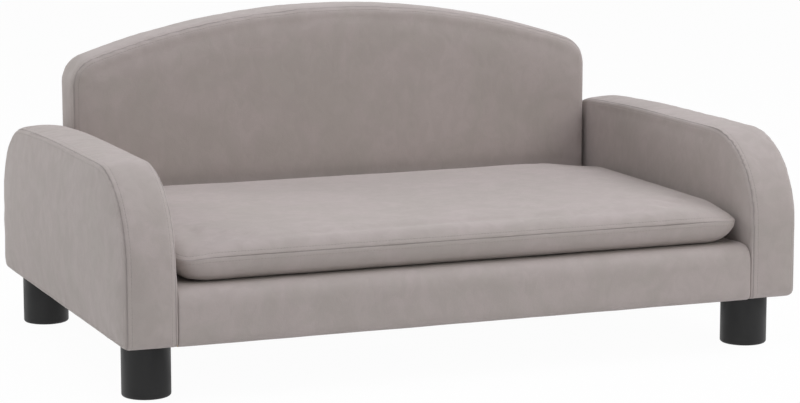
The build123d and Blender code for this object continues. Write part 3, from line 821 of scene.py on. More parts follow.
def dust_sheet(sizes):
    """The thin sheet under the base: held at its folded edge, and sagging in its middle."""
    low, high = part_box("dust_cover")
    middle, size = (low + high) / 2, high - low
    cell = 9 * mm
    bpy.ops.object.select_all(action="DESELECT")
    bpy.ops.mesh.primitive_grid_add(
        x_subdivisions=round(size.x / cell), y_subdivisions=round(size.y / cell), size=1,
        location=(middle.x, middle.y, low.z + 0.05 * mm), rotation=(math.pi, 0, 0),
    )
    sheet = bpy.context.object
    sheet.scale = (size.x, size.y, 1)
    sheet.name = sheet.data.name = "dust_cover_sheet"
    bpy.ops.object.transform_apply(location=True, rotation=True, scale=True)
    for corner in sheet.data.vertices:
        place = corner.co
        to_side = min(place.x - low.x, high.x - place.x)
        to_end = min(place.y - low.y, high.y - place.y)
        edge = min(to_side, to_end)
        run = place.y if to_side < to_end else place.x
        free = settled(max(0.0, edge - sizes.hem_width), 50 * mm)
        pull = 0.5 - 0.5 * math.cos(math.tau * run / sizes.staple_pitch)
        crease = noise.noise(Vector((place.x / (60 * mm), place.y / (30 * mm), 5.1)))
        beside = math.exp(-abs(edge - sizes.hem_width) / (16 * mm))
        place.z -= sizes.dust_sag * free + 0.5 * mm * crease * free + 0.4 * mm * pull * beside
    with editing(sheet, "EDGE") as mesh:
        inner = sizes.hem_width
        for corner in extruded_rim(sheet, mesh, crease=1):
            place = corner.co
            place.x = max(low.x + inner, min(high.x - inner, place.x))
            place.y = max(low.y + inner, min(high.y - inner, place.y))
            place.z = high.z - 0.15 * mm
        bpy.ops.mesh.select_all(action="SELECT")
        bpy.ops.mesh.normals_make_consistent(inside=False)
    return sheet


def staple():
    """A flat wire staple, seen from below: its crown, and two legs up into the wood."""
    half, leg, width, thick = 5 * mm, 3 * mm, 0.6 * mm, 0.5 * mm
    piece = block("staple", (-half, -width, -thick), (half, width, 0))
    inner = half - 2 * width
    with editing(piece, "EDGE"):
        for cut in (-inner, inner):
            cut_plane((cut, 0, 0), across)
    with editing(piece, "FACE") as mesh:
        choose(
            piece, mesh.faces,
            lambda face: face.normal.z > 0.9 and abs(face.calc_center_median().x) > inner,
        )
        bpy.ops.mesh.extrude_region_move(TRANSFORM_OT_translate={"value": (0, 0, leg)})
    round_level(piece, 0.3 * mm, 2, z=(-thick,), x=(-half, half))
    return piece


def staple_places(sizes):
    """Where the staples go round the dust cover, each with the way that its crown lies."""
    low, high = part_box("dust_cover")
    inset = sizes.hem_width / 2
    places = []
    for start, end, turn in (
        (Vector((low.x + inset, low.y + inset)), Vector((high.x - inset, low.y + inset)), 0),
        (Vector((high.x - inset, high.y - inset)), Vector((low.x + inset, high.y - inset)), 0),
        (Vector((high.x - inset, low.y + inset)), Vector((high.x - inset, high.y - inset)), 90),
        (Vector((low.x + inset, high.y - inset)), Vector((low.x + inset, low.y + inset)), 90),
    ):
        count = round((end - start).length / sizes.staple_pitch)
        for number in range(count):
            place = start.lerp(end, (number + 0.5) / count)
            skew = 9 * noise.noise(Vector((*place, 0)) / (12 * mm))
            places.append((place, math.radians(turn + skew)))
    return places


# Stage


def make_camera():
    """The photograph's viewpoint: three quarters from the front left, a little above."""
    bpy.ops.object.select_all(action="DESELECT")
    turn, tilt = math.radians(21.92), math.radians(-9.40)
    bpy.ops.object.camera_add(
        location=(-1.0375, -2.6105, 0.6012), rotation=(math.pi / 2 + tilt, 0, -turn)
    )
    camera = bpy.context.object
    camera.name = "camera"
    camera.data.sensor_width = 36
    camera.data.lens = 124.07
    bpy.context.scene.camera = camera


def add_lamp(name, place, size, power, colour):
    """A large round lamp that points at the middle of the sofa."""
    middle = Vector((0, 0, 150 * mm))
    aim = middle - place
    bpy.ops.object.light_add(
        type="AREA", location=place, rotation=aim.to_track_quat("-Z", "Y").to_euler()
    )
    lamp = bpy.context.object
    lamp.name = name
    lamp.data.shape = "DISK"
    lamp.data.size = size
    lamp.data.energy = power
    lamp.data.color = colour


# Materials


class Value:
    """A socket's value, with arithmetic that adds Math nodes."""

    def __init__(self, finish, socket):
        self.finish = finish
        self.socket = socket

    def _math(self, operation, *values):
        return self.finish.add("Math", {"operation": operation}, dict(enumerate(values)))

    def __add__(self, other):
        return self._math("ADD", self, other)

    def __sub__(self, other):
        return self._math("SUBTRACT", self, other)

    def __rsub__(self, other):
        return self._math("SUBTRACT", other, self)

    def __mul__(self, other):
        return self._math("MULTIPLY", self, other)

    def __truediv__(self, other):
        return self._math("DIVIDE", self, other)

    def sine(self):
        return self._math("SINE", self)

    def size(self):
        """The value without its sign."""
        return self._math("ABSOLUTE", self)

    def turns(self):
        """How far the value has gone since the last whole number, from 0 to 1."""
        return self._math("FRACT", self)

    __radd__ = __add__
    __rmul__ = __mul__


class Finish:
    """One material's or the world's nodes, added one by one."""

    def __init__(self, owner):
        owner.use_nodes = True
        self.owner = owner
        self.tree = owner.node_tree
        self.tree.nodes.clear()

    def add(self, kind, settings=None, inputs=None, output=0):
        """Add a node, set it, then fill or link its sockets. Returns one of its outputs."""
        node = self.tree.nodes.new("ShaderNode" + kind)
        for name, value in (settings or {}).items():
            if name == "stops":
                for stop, (place, colour) in zip(node.color_ramp.elements, value):
                    stop.position, stop.color = place, (*colour, 1)
            else:
                setattr(node, name, value)
        for name, value in (inputs or {}).items():
            if isinstance(value, Value):
                self.tree.links.new(value.socket, node.inputs[name])
            else:
                node.inputs[name].default_value = value
        return Value(self, node.outputs[output]) if len(node.outputs) else None

    def place(self, stretch=(1, 1, 1)):
        """The point on the piece, in metres, stretched along its axes."""
        coordinates = self.add("TexCoord", output="Object")
        return self.add("Mapping", inputs={"Vector": coordinates, "Scale": stretch})

    def grain(self, size, stretch=(1, 1, 1), detail=2.0, roughness=0.5, distortion=0.0):
        """Noise from 0 to 1 whose features are about that size, in metres."""
        return self.add(
            "TexNoise", {"noise_dimensions": "3D"},
            {
                "Vector": self.place(stretch), "Scale": 1 / size, "Detail": detail,
                "Roughness": roughness, "Distortion": distortion,
            },
        )

    def axis(self, number, output="Object"):
        """One coordinate of the point on the piece, or of the way out there."""
        coordinates = self.add("TexCoord", output=output)
        return self.add("SeparateXYZ", inputs={0: coordinates}, output=number)

    def cells(self, size, feature="F1", randomness=1.0):
        """Distance to the nearest of scattered points, about that far apart, in cells."""
        return self.add(
            "TexVoronoi", {"feature": feature},
            {"Vector": self.place(), "Scale": 1 / size, "Randomness": randomness}, "Distance",
        )

    def spread(self, value, low, high, to_low=0.0, to_high=1.0):
        """Map a range of a value to another, with soft ends."""
        return self.add(
            "MapRange", {"interpolation_type": "SMOOTHSTEP"},
            {0: value, 1: low, 2: high, 3: to_low, 4: to_high},
        )

    def mix(self, share, first, second):
        """Blend two colours."""
        colours = [value if isinstance(value, Value) else (*value, 1) for value in (first, second)]
        return self.add(
            "Mix", {"data_type": "RGBA"}, {0: share, 6: colours[0], 7: colours[1]}, output=2,
        )

    def bump(self, height, depth, under=None):
        """Turn a height from 0 to 1 into a normal, over another normal if given."""
        inputs = {"Height": height, "Distance": depth, "Strength": 1.0}
        if under is not None:
            inputs["Normal"] = under
        return self.add("Bump", inputs=inputs)

    def seen(self):
        """1 where the camera looks, or a reflection, or a view through glass, and else 0."""
        camera, mirrored, through = (
            self.add("LightPath", output=f"Is {kind} Ray")
            for kind in ("Camera", "Glossy", "Transmission")
        )
        return camera + mirrored + through

    def surface(self, **inputs):
        """Close the tree with a Principled shader. Constants are set on its sockets."""
        named = {
            name.replace("_", " ").title().replace("Ior", "IOR"): value
            for name, value in inputs.items()
        }
        for name, value in named.items():
            if name.endswith(("Color", "Tint")) and not isinstance(value, Value):
                named[name] = (*value, 1)
        shader = self.add("BsdfPrincipled", inputs=named)
        self.add("OutputMaterial", inputs={"Surface": shader})
        return self.owner


def new_finish(name):
    """A fresh material of that name. The plain one that came with the frame steps aside."""
    plain = bpy.data.materials.get(name)
    if plain:
        plain.name = f"plain_{name}"
    return Finish(bpy.data.materials.new(name))


def tint(colour, shares):
    """A colour with each channel made lighter or darker by its share."""
    return tuple(channel * share for channel, share in zip(colour, shares))


def shade(colour, share):
    """A colour made lighter or darker by a share."""
    return tint(colour, (share, share, share))


def floor_finish():
    """A pale floor that shows white and keeps the shadow under the sofa."""
    finish = new_finish("pale_floor")
    paint = finish.add("BsdfDiffuse", inputs={"Color": (0.9, 0.9, 0.9, 1)})
    white = finish.add("Emission", inputs={"Color": (1, 1, 1, 1), "Strength": 1.0})
    whiteness = 0.97
    mixed = finish.add("MixShader", inputs={0: finish.seen() * whiteness, 1: paint, 2: white})
    finish.add("OutputMaterial", inputs={"Surface": mixed})
    return finish.owner


def surroundings(scene, look):
    """White where the camera or a reflection looks, and a soft dome of light elsewhere."""
    scene.world = bpy.data.worlds.new("surroundings")
    finish = Finish(scene.world)
    dome = finish.add("Background", inputs={"Color": (1, 1, 1, 1), "Strength": look.dome})
    white = finish.add("Background", inputs={"Color": (1, 1, 1, 1), "Strength": 1.0})
    mixed = finish.add("MixShader", inputs={0: finish.seen(), 1: dome, 2: white})
    finish.add("OutputWorld", inputs={"Surface": mixed})


def velvet_finish(look):
    """Short-pile velvet: soft mottling, brushed pile, a painted highlight beside each seam where the
    fabric rolls over, painted shade in each seam's crease, and the dimpled line where the seam's
    allowance is stitched down, with painted shade in its dimples."""
    finish = new_finish("velvet")
    seam_allowance = 4.2 * mm
    colour = tuple(look.velvet)
    clouds = finish.spread(finish.grain(55 * mm, detail=4, roughness=0.6, distortion=0.8), 0.35, 0.65)
    brushed = finish.spread(finish.grain(14 * mm, (1, 1, 0.75), detail=4, distortion=0.9), 0.35, 0.65)
    pile = finish.grain(0.9 * mm, detail=1)
    cool, warm = tint(colour, (0.955, 0.965, 0.955)), tint(colour, (1.04, 1.03, 1.045))
    tone = finish.mix(clouds, cool, warm)
    tone = finish.mix(brushed * 0.3, tone, shade(colour, 0.9))
    tone = finish.mix(finish.spread(pile, 0.3, 0.7) * 0.25, tone, shade(colour, 0.9))
    gap = finish.add("Attribute", {"attribute_name": "seam_gap"}, output="Fac")
    run = finish.add("Attribute", {"attribute_name": "seam_run"}, output="Fac")
    # Painted shade in each seam's crease, darkest right at the seam
    seam_shade = finish.spread(gap, 0, 0.9 * mm, 1, 0)
    # A painted highlight on the strip beside each seam where the fabric rolls over, its strength varied
    # by the brushed pile
    seam_highlight = finish.spread(gap, 0.8 * mm, 2.5 * mm) * finish.spread(gap, 2.5 * mm, 6 * mm, 1, 0)
    # The stitched line beside each seam: a real dimple in the bump, and its darkening is painted shade in
    # the dimples
    line = finish.spread((gap - seam_allowance).size(), 0.2 * mm, 0.7 * mm, 1, 0)
    stitches = finish.spread((run * (math.tau / (3.2 * mm))).sine(), -0.4, 0.4)
    # Lighten that strip with the painted highlight
    tone = finish.mix(seam_highlight * (0.1 + brushed * 0.3), tone, shade(colour, 1.1))
    # Darken the stitched dimples with painted shade
    tone = finish.mix(line * (0.04 + stitches * 0.12), tone, shade(colour, 0.6))
    # Darken the seam's crease with painted shade
    tone = finish.mix(seam_shade * 0.4, tone, shade(colour, 0.5))
    nap = finish.bump(brushed, 0.09 * mm)
    nap = finish.bump(pile, 0.12 * mm, nap)
    nap = finish.bump(line * (-0.5 - stitches * 0.5), 0.25 * mm, nap)
    return finish.surface(
        base_color=tone, roughness=finish.spread(brushed, 0, 1, 0.78, 0.92), normal=nap,
        sheen_weight=0.25, sheen_roughness=0.45, sheen_tint=(1.0, 0.97, 0.95),
    )


def foot_finish(look):
    """Black moulded plastic with a fine spark texture."""
    finish = new_finish("foot_plastic")
    colour = tuple(look.foot)
    spark = finish.grain(0.7 * mm, detail=2)
    smears = finish.spread(finish.grain(18 * mm, (1, 1, 0.5), detail=3), 0.4, 0.7)
    tone = finish.mix(smears, shade(colour, 0.92), shade(colour, 1.12))
    return finish.surface(
        base_color=tone, roughness=finish.spread(smears, 0, 1, 0.46, 0.6),
        normal=finish.bump(spark, 0.05 * mm), specular_ior_level=0.38,
    )


def along_one(axis, share):
    """A stretch that draws a pattern out along one axis."""
    return tuple(share if number == axis else 1 for number in range(3))


def lie_of(node):
    """A board's thin axis and its long one."""
    low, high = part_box(node)
    extents = list(high - low)
    return extents.index(min(extents)), extents.index(max(extents))


def plywood_finish(name, thin, long):
    """Birch plywood: long grain on its faces, and its plies in stripes on its edges."""
    finish = new_finish(name)
    streaks = finish.grain(2.4 * mm, along_one(long, 0.05), detail=4, distortion=0.5)
    figure = finish.grain(30 * mm, along_one(long, 0.12), detail=2, distortion=1.2)
    flecks = finish.spread(finish.grain(1.0 * mm, along_one(long, 0.1), detail=1), 0.62, 0.72)
    pale, tan = (0.70, 0.50, 0.30), (0.60, 0.40, 0.22)
    face = finish.mix(finish.spread(streaks, 0.35, 0.65), tan, pale)
    face = finish.mix(finish.spread(figure, 0.4, 0.6) * 0.5, face, shade(pale, 1.06))
    face = finish.mix(flecks * 0.4, face, shade(tan, 0.6))
    depth = (finish.axis(thin) / (2.4 * mm)).turns()
    ply = finish.spread((depth - 0.5).size(), 0.2, 0.3)
    edge = finish.mix(ply, shade(tan, 0.55), shade(pale, 0.95))
    edge = finish.mix(finish.spread(streaks, 0.55, 0.8) * 0.4, edge, shade(tan, 0.5))
    on_edge = finish.spread(finish.axis(thin, "Normal").size(), 0.4, 0.6, 1, 0)
    height = streaks * 0.5 + ply * on_edge * 0.5
    return finish.surface(
        base_color=finish.mix(on_edge, face, edge),
        roughness=finish.spread(streaks, 0, 1, 0.55, 0.75),
        normal=finish.bump(height, 0.15 * mm),
    )


def pine_finish(name, thin, long):
    """Planed pine: growth rings that run out into long streaks, with a few resin flecks."""
    finish = new_finish(name)
    rings = finish.add(
        "TexWave",
        {"wave_type": "RINGS", "rings_direction": "XYZ"[long], "wave_profile": "SAW"},
        {
            "Vector": finish.add(
                "Mapping",
                inputs={
                    "Vector": finish.place(along_one(long, 0.12)),
                    "Location": tuple(0.0 if n == long else 31 * mm + 9 * mm * n for n in range(3)),
                },
            ),
            "Scale": 0.314 / (3.2 * mm), "Distortion": 2.4, "Detail": 2.0, "Detail Scale": 6.0,
        },
    )
    fibre = finish.grain(0.9 * mm, along_one(long, 0.04), detail=3)
    resin = finish.spread(finish.grain(4 * mm, along_one(long, 0.15), detail=1), 0.72, 0.78)
    pale, dark = (0.78, 0.56, 0.32), (0.60, 0.36, 0.16)
    tone = finish.mix(finish.spread(rings, 0.55, 0.98), pale, dark)
    tone = finish.mix(fibre * 0.35, tone, shade(pale, 0.78))
    tone = finish.mix(resin * 0.6, tone, shade(dark, 0.55))
    return finish.surface(
        base_color=tone, roughness=finish.spread(rings, 0, 1, 0.62, 0.5),
        normal=finish.bump(fibre * 0.6 + rings * 0.4, 0.12 * mm),
    )


def hardboard_finish():
    """Brown pressed fibre board with a fine speckle."""
    finish = new_finish("hardboard")
    fibres = finish.grain(1.6 * mm, (1, 0.4, 1), detail=4, roughness=0.7, distortion=1.5)
    specks = finish.spread(finish.grain(0.8 * mm, detail=2), 0.6, 0.75)
    tone = finish.mix(finish.spread(fibres, 0.3, 0.7), (0.17, 0.095, 0.05), (0.27, 0.16, 0.085))
    tone = finish.mix(specks * 0.5, tone, (0.36, 0.24, 0.14))
    return finish.surface(
        base_color=tone, roughness=finish.spread(fibres, 0, 1, 0.5, 0.72),
        normal=finish.bump(fibres, 0.12 * mm),
    )


def steel_finish():
    """Zinc-plated steel, a little cloudy, with fine handling marks."""
    finish = new_finish("steel")
    cloud = finish.spread(finish.grain(5 * mm, detail=3), 0.35, 0.65)
    marks = finish.spread(finish.grain(0.8 * mm, (1, 0.2, 1), detail=3), 0.58, 0.7)
    tone = finish.mix(cloud, (0.56, 0.56, 0.57), (0.68, 0.67, 0.64))
    return finish.surface(
        base_color=finish.mix(marks * 0.4, tone, (0.42, 0.42, 0.43)), metallic=1.0,
        roughness=finish.spread(cloud, 0, 1, 0.26, 0.4), normal=finish.bump(marks, 0.02 * mm),
    )


def wadding_finish():
    """White polyester wadding: loose fibres that cross and clump."""
    finish = new_finish("wadding")
    first = finish.grain(1.6 * mm, (1, 0.25, 1), detail=4, distortion=2.5)
    second = finish.grain(1.6 * mm, (0.25, 1, 1), detail=4, distortion=2.5)
    clumps = finish.grain(16 * mm, detail=3, roughness=0.6)
    fibres = finish.spread((first - 0.5).size() + (second - 0.5).size(), 0.0, 0.25)
    tone = finish.mix(fibres, (0.86, 0.85, 0.81), (0.74, 0.73, 0.69))
    tone = finish.mix(finish.spread(clumps, 0.4, 0.65) * 0.4, tone, (0.68, 0.67, 0.62))
    nap = finish.bump(fibres, 0.4 * mm, finish.bump(clumps, 1.5 * mm))
    return finish.surface(
        base_color=tone, roughness=finish.spread(fibres, 0, 1, 0.88, 0.98), normal=nap,
        sheen_weight=0.3, sheen_roughness=0.6,
    )


def foam_finish():
    """Cut polyurethane foam: cream, with open pores darkened by painted shade."""
    finish = new_finish("foam")
    pores = finish.spread(finish.cells(1.5 * mm), 0.15, 0.55)
    large = finish.spread(finish.cells(4.2 * mm), 0.05, 0.22)
    # The pores' darkness is painted shade in the hollows
    tone = finish.mix(pores, (0.62, 0.56, 0.40), (0.82, 0.77, 0.62))
    tone = finish.mix((1 - large) * 0.5, tone, (0.50, 0.44, 0.30))
    return finish.surface(
        base_color=tone, roughness=finish.spread(pores, 0, 1, 0.95, 0.85),
        normal=finish.bump(pores * 0.6 + large * 0.4, 0.35 * mm),
    )


def dust_finish():
    """Black spun fabric, point-bonded in a fine lattice of dots."""
    finish = new_finish("dust_fabric")
    fibres = finish.grain(1.1 * mm, (1, 0.4, 1), detail=4, distortion=2.0)
    scale = math.pi / (1.3 * mm)
    x, y = finish.axis(0), finish.axis(1)
    dots = finish.spread(((x + y) * scale).sine() * ((x - y) * scale).sine(), 0.35, 0.7)
    tone = finish.mix(finish.spread(fibres, 0.35, 0.65), (0.014, 0.014, 0.015), (0.04, 0.04, 0.042))
    tone = finish.mix(dots * 0.7, tone, (0.009, 0.009, 0.01))
    return finish.surface(
        base_color=tone, roughness=finish.spread(dots, 0, 1, 0.86, 0.5),
        normal=finish.bump(fibres * 0.5 - dots, 0.12 * mm),
    )


def tape_finish(look):
    """Woven zip tape, a shade darker than the velvet, with a ribbed edge."""
    finish = new_finish("zip_tape")
    colour = shade(look.velvet, 0.62)
    x, z = finish.axis(0), finish.axis(2)
    warp = (z * (math.tau / (0.8 * mm))).sine()
    weft = ((x + (z * (math.tau / (1.6 * mm))).sine() * 0.2 * mm) * (math.tau / (0.9 * mm))).sine()
    weave = finish.spread(warp * weft, -0.6, 0.6)
    fuzz = finish.grain(1.2 * mm, detail=3)
    tone = finish.mix(weave, shade(colour, 0.8), shade(colour, 1.12))
    return finish.surface(
        base_color=finish.mix(finish.spread(fuzz, 0.45, 0.7) * 0.3, tone, shade(colour, 1.3)),
        roughness=finish.spread(weave, 0, 1, 0.9, 0.72), normal=finish.bump(weave, 0.12 * mm),
        sheen_weight=0.1,
    )


def coil_finish(look):
    """Nylon coil teeth, dyed like the tape and rubbed smooth on their tops."""
    finish = new_finish("zip_coil")
    colour = shade(look.velvet, 0.48)
    rubbed = finish.spread(finish.grain(3 * mm, (0.3, 1, 1), detail=3), 0.4, 0.65)
    scratches = finish.grain(0.6 * mm, (0.2, 1, 1), detail=2)
    return finish.surface(
        base_color=finish.mix(rubbed, colour, shade(colour, 1.25)),
        roughness=finish.spread(rubbed, 0, 1, 0.48, 0.3),
        normal=finish.bump(scratches, 0.02 * mm),
    )


def thread_finish(look):
    """Twisted sewing thread, a shade lighter than the velvet."""
    finish = new_finish("thread")
    colour = shade(look.velvet, 1.1)
    x, z = finish.axis(0), finish.axis(2)
    twist = finish.spread(((x + z) * (math.tau / (0.45 * mm))).sine(), -0.7, 0.7)
    return finish.surface(
        base_color=finish.mix(twist, shade(colour, 0.7), colour),
        roughness=finish.spread(twist, 0, 1, 0.8, 0.6), normal=finish.bump(twist, 0.06 * mm),
    )


# The steps


class SOFA_OT_stage(bpy.types.Operator):
    """Add the camera, the floor, the lamps and the white surroundings"""

    bl_idname = "sofa.stage"
    bl_label = "Stage"

    def execute(self, context):
        look = context.scene.sofa_look
        make_camera()
        context.scene.view_settings.view_transform = "Standard"
        bpy.ops.object.select_all(action="DESELECT")
        bpy.ops.mesh.primitive_plane_add(size=12)
        floor = context.object
        floor.name = "floor"
        floor.data.materials.append(floor_finish())
        floor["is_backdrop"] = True
        white, cool, warm = (1, 1, 1), (1, 1, 1.1), (1, 0.99, 0.95)
        for name, place, size, power, colour in (
            ("overhead_lamp", (-0.5, -0.9, 2.4), 1.9, look.overhead, cool),
            ("rear_left_lamp", (-1.9, 1.7, 1.3), 1.4, look.rear_left, white),
            ("right_lamp", (1.6, 0.0, 2.0), 1.4, look.right, cool),
            ("front_right_lamp", (1.7, -2.0, 1.4), 1.4, look.front_right, warm),
        ):
            add_lamp(name, Vector(place), size, power, colour)
        surroundings(context.scene, look)
        return {"FINISHED"}


class SOFA_OT_arms(bpy.types.Operator):
    """Sew the padded covers of the two arms"""

    bl_idname = "sofa.arms"
    bl_label = "Arms"

    def execute(self, context):
        sizes = context.scene.sofa_sizes
        shell = arm_shell(sizes)
        share_at_deck = 0.3

        def room(place, gap):
            rise = settled(gap, sizes.swell_reach)
            if arm_seams[0] < place.x < arm_seams[1]:
                down = clamped((arm_top - place.z) / sizes.arm_top_radius)
                full = sizes.band_fullness + sizes.front_fullness * down
                return (full + sink_at_rear(place, sizes)) * rise
            if place.x > arm_seams[1]:
                return sizes.side_fullness * settled(gap, sizes.side_reach)
            clear = share_at_deck + (1 - share_at_deck) * above_deck(place)
            return clear * sizes.panel_fullness * rise

        swell(shell, pressure=12.0, ease=0.015, held=arm_held, room=room)
        pad = pad_under(shell, "arm_wadding", sizes, thickness=2.8 * mm, kept=arm_is_wadded)
        for side, sign in sides.items():
            arm, wadding = copy_of(shell, f"{side}_arm_shell"), copy_of(pad, f"{side}_arm_padding")
            if sign < 0:
                mirror_across(arm)
                mirror_across(wadding)
            complete(wadding, "root", "wadding", [f"{side}_arm_wadding"])
            panels = {
                f"{side}_arm_{panel}": f"{side}_arm_{node}"
                for panel, node in (
                    ("inner_panel", "inner_cover"), ("outer_panel", "outer_cover"),
                    ("band", "cover_band"),
                )
            }
            sew(arm, panels, sizes, seed=2.1 + 7.3 * sign)
        bpy.data.objects.remove(shell)
        bpy.data.objects.remove(pad)
        return {"FINISHED"}


class SOFA_OT_back(bpy.types.Operator):
    """Sew the padded cover of the back"""

    bl_idname = "sofa.back"
    bl_label = "Back"

    def execute(self, context):
        sizes = context.scene.sofa_sizes
        shell = back_shell(sizes)
        band_share = 0.6

        def room(place, gap):
            on_band = back_seams[0] < place.y < back_seams[1]
            full = (band_share if on_band else 1.0) * sizes.panel_fullness
            return full * settled(gap, sizes.swell_reach)

        swell(shell, pressure=12.0, ease=0.01, held=back_held, room=room)
        pad = pad_under(shell, "back_padding", sizes, thickness=4.0 * mm, kept=back_is_wadded)
        complete(pad, "root", "wadding", ["back_wadding"])
        panels = {
            "back_front_panel": "back_front_cover", "back_rear_panel": "back_rear_cover",
            "back_band": "back_cover_band",
        }
        sew(shell, panels, sizes, seed=20.7, crease=0.9)
        return {"FINISHED"}


class SOFA_OT_base(bpy.types.Operator):
    """Cover the front rail and the deck of the base"""

    bl_idname = "sofa.base"
    bl_label = "Base"

    def execute(self, context):
        sizes = context.scene.sofa_sizes
        base = base_shell(sizes)
        no_seam_near = [back_half] * len(base.data.vertices)
        heights = [corner.co.z for corner in base.data.vertices]
        keep_values(base.data, seam_gap=no_seam_near, seam_run=heights)
        pull_height, pull_reach = 1.2 * mm, 25 * mm
        pulls_across, pulls_down = 8, 60
        normals = [corner.normal.copy() for corner in base.data.vertices]
        for corner, normal in zip(base.data.vertices, normals):
            place = corner.co
            slow = noise.noise(place / sizes.wave_pitch)
            pull = noise.noise(
                Vector((place.x * pulls_across, place.y * pulls_down, place.z * pulls_down))
            )
            near_arm = math.exp(-(arm_inner - abs(place.x)) / pull_reach)
            corner.co += normal * (sizes.wave_height * slow + pull_height * pull * near_arm)
        pad = pad_under(base, "base_padding", sizes, thickness=1.9 * mm, kept=base_is_wadded)
        complete(pad, "root", "wadding", ["base_wadding"])
        turn_in_rim(base, deep=12 * mm, shallow=1.5 * mm)
        apply_modifier(base, "SUBSURF", levels=1, render_levels=1)
        complete(base, "root", "velvet", ["base_cover"])
        return {"FINISHED"}


class SOFA_OT_cushion(bpy.types.Operator):
    """Sew the loose seat cushion"""

    bl_idname = "sofa.cushion"
    bl_label = "Seat Cushion"

    def execute(self, context):
        sizes = context.scene.sofa_sizes
        shell = cushion_shell(sizes)
        top_reach, band_reach = 4 * sizes.swell_reach, 0.5 * sizes.swell_reach
        share_below, gain_to_seam = 0.05, 0.7

        def held(place):
            return place.z < cushion_low + 0.5 * mm

        def room(place, gap):
            if place.z > cushion_seam:
                return sizes.cushion_fullness * settled(gap, top_reach)
            height = max(0.0, (place.z - cushion_low) / (cushion_seam - cushion_low))
            full = sizes.cushion_fullness * (share_below + gain_to_seam * height)
            return full * settled(gap, band_reach)

        swell(shell, pressure=4.0, ease=0.0, held=held, room=room)
        for corner in shell.data.vertices:
            place = corner.co
            place.x = max(-cushion_half, min(cushion_half, place.x))
            place.y = min(place.y, rear_limit(place.x, place.z))
            place.z = max(cushion_low, place.z)
        foam = pad_under(shell, "cushion_foam_slab", sizes, thickness=0, kept=lambda face: True)
        complete(foam, "seat_cushion", "wadding", ["cushion_foam"], look="foam")
        panels = {
            "cushion_top_panel": "cushion_top_cover",
            "cushion_bottom_panel": "cushion_bottom_cover", "cushion_boxing": "cushion_band",
        }
        sew(shell, panels, sizes, seed=41.3, body="seat_cushion")
        return {"FINISHED"}


class SOFA_OT_zip(bpy.types.Operator):
    """Add the zip's tape, stitching, teeth and end stops"""

    bl_idname = "sofa.zip"
    bl_label = "Zip"

    def execute(self, context):
        sizes = context.scene.sofa_sizes
        slit = 0.35 * mm
        strips = [
            zip_strip(zip_low, (zip_high.x, zip_face, zip_middle.z - slit)),
            zip_strip(
                (zip_low.x, zip_low.y, zip_middle.z + slit), (zip_high.x, zip_face, zip_high.z)
            ),
        ]
        tape = joined(strips, "zip_tape")
        complete(tape, "seat_cushion", "zip_tape", ["cushion_zip_tape"])
        cord_half = 1.2 * mm
        cords = block(
            "cords", (zip_low.x + 2 * mm, zip_face - 0.2 * mm, zip_middle.z - cord_half),
            (zip_high.x - 2 * mm, zip_chain_low + 0.2 * mm, zip_middle.z + cord_half),
        )
        round_edges(cords, lambda edge: edge.calc_length() > 8 * mm, 0.4 * mm, 1)
        teeth = joined([cords] + [zip_row(sizes, side) for side in (-1, 1)], "zip_teeth")
        complete(teeth, "seat_cushion", "zip_tape", look="zip_coil")
        heights = [zip_middle.z + side * 6 * mm for side in (-1, 1)]
        stitches = joined([zip_stitching(sizes, height) for height in heights], "zip_stitches")
        complete(stitches, "seat_cushion", "velvet", look="thread")
        stop_length, stop_half = 3 * mm, 3.2 * mm
        stops = []
        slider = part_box("cushion_zip_slider")
        for start in (slider[1].x + 0.5 * mm, zip_low.x + 9 * mm):
            stop = block(
                "stop", (start, zip_face, zip_middle.z - stop_half),
                (start + stop_length, zip_high.y, zip_middle.z + stop_half),
            )
            round_level(stop, 0.7 * mm, 3, y=(zip_high.y,))
            stops.append(stop)
        stops = joined(stops, "zip_end_stops")
        complete(stops, "seat_cushion", "steel")
        return {"FINISHED"}


class SOFA_OT_dust_cover(bpy.types.Operator):
    """Staple the thin dust cover under the base"""

    bl_idname = "sofa.dust_cover"
    bl_label = "Dust Cover"

    def execute(self, context):
        sizes = context.scene.sofa_sizes
        low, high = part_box("dust_cover")
        sheet = dust_sheet(sizes)
        pattern = staple()
        staples = []
        for place, turn in staple_places(sizes):
            copy = copy_of(pattern, "staple")
            copy.location = (place.x, place.y, low.z + 0.05 * mm)
            copy.rotation_euler.z = turn
            staples.append(copy)
        bpy.data.objects.remove(pattern)
        staples = joined(staples, "dust_cover_staples")
        bpy.ops.object.transform_apply(location=True, rotation=True, scale=True)
        complete(staples, "root", "steel")
        apply_modifier(sheet, "SUBSURF", levels=1, render_levels=1)
        apply_modifier(sheet, "SOLIDIFY", thickness=0.12 * mm, offset=1)
        complete(sheet, "root", "dust_fabric", ["dust_cover"])
        return {"FINISHED"}


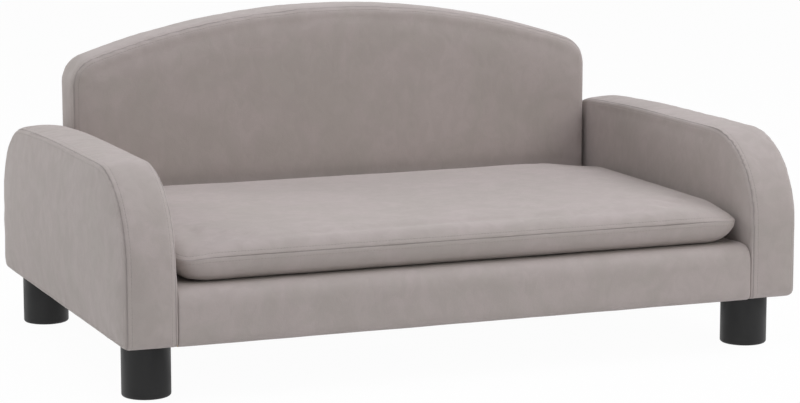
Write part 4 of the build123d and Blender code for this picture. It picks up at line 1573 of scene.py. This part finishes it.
class SOFA_OT_materials(bpy.types.Operator):
    """Make the materials and give the frame's own pieces theirs"""

    bl_idname = "sofa.materials"
    bl_label = "Materials"

    def execute(self, context):
        look = context.scene.sofa_look
        finishes = {
            "velvet": velvet_finish(look), "wadding": wadding_finish(),
            "dust_fabric": dust_finish(), "zip_tape": tape_finish(look),
            "foot_plastic": foot_finish(look), "hardboard": hardboard_finish(),
            "steel": steel_finish(),
        }
        foam_finish()
        coil_finish(look)
        thread_finish(look)
        for part in frame["record"]["subparts"]:
            node, slot = frame["nodes"][part["node"]], part["material_slot"]
            node.data.materials.clear()
            if slot in ("plywood", "pine"):
                thin, long = lie_of(part["node"])
                kind = {"plywood": plywood_finish, "pine": pine_finish}[slot]
                name = f"{slot}_{'xyz'[thin]}{'xyz'[long]}"
                finish = bpy.data.materials.get(name) or kind(name, thin, long)
            else:
                finish = finishes[slot]
            node.data.materials.append(finish)
        return {"FINISHED"}


class SOFA_PT_panel(bpy.types.Panel):
    """The steps that dress the sofa, in order"""

    bl_idname = "SOFA_PT_panel"
    bl_label = "Dog Sofa Bed"
    bl_space_type = "VIEW_3D"
    bl_region_type = "UI"
    bl_category = "Sofa Bed"

    def draw(self, context):
        for step in steps:
            self.layout.operator(step.bl_idname)
        for settings in (context.scene.sofa_sizes, context.scene.sofa_look):
            for name in settings.bl_rna.properties.keys():
                if name not in ("rna_type", "name"):
                    self.layout.prop(settings, name)


steps = (
    SOFA_OT_materials, SOFA_OT_stage, SOFA_OT_arms, SOFA_OT_back, SOFA_OT_base, SOFA_OT_cushion,
    SOFA_OT_zip, SOFA_OT_dust_cover,
)
classes = (SofaSizes, SofaLook, *steps, SOFA_PT_panel)


def register():
    for kind in classes:
        bpy.utils.register_class(kind)
    bpy.types.Scene.sofa_sizes = bpy.props.PointerProperty(type=SofaSizes)
    bpy.types.Scene.sofa_look = bpy.props.PointerProperty(type=SofaLook)


def unregister():
    del bpy.types.Scene.sofa_sizes
    del bpy.types.Scene.sofa_look
    for kind in reversed(classes):
        bpy.utils.unregister_class(kind)


def main():
    """Dress the sofa, step by step, and measure how large it came out."""
    register()
    bpy.ops.sofa.materials()
    bpy.ops.sofa.stage()
    bpy.ops.sofa.arms()
    bpy.ops.sofa.back()
    bpy.ops.sofa.base()
    bpy.ops.sofa.cushion()
    bpy.ops.sofa.zip()
    bpy.ops.sofa.dust_cover()
    boxes = {
        name: [list(corner) for corner in box]
        for name, box in (("cad", cad_box), ("visual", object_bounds()))
    }


if __name__ == "__main__":
    main()
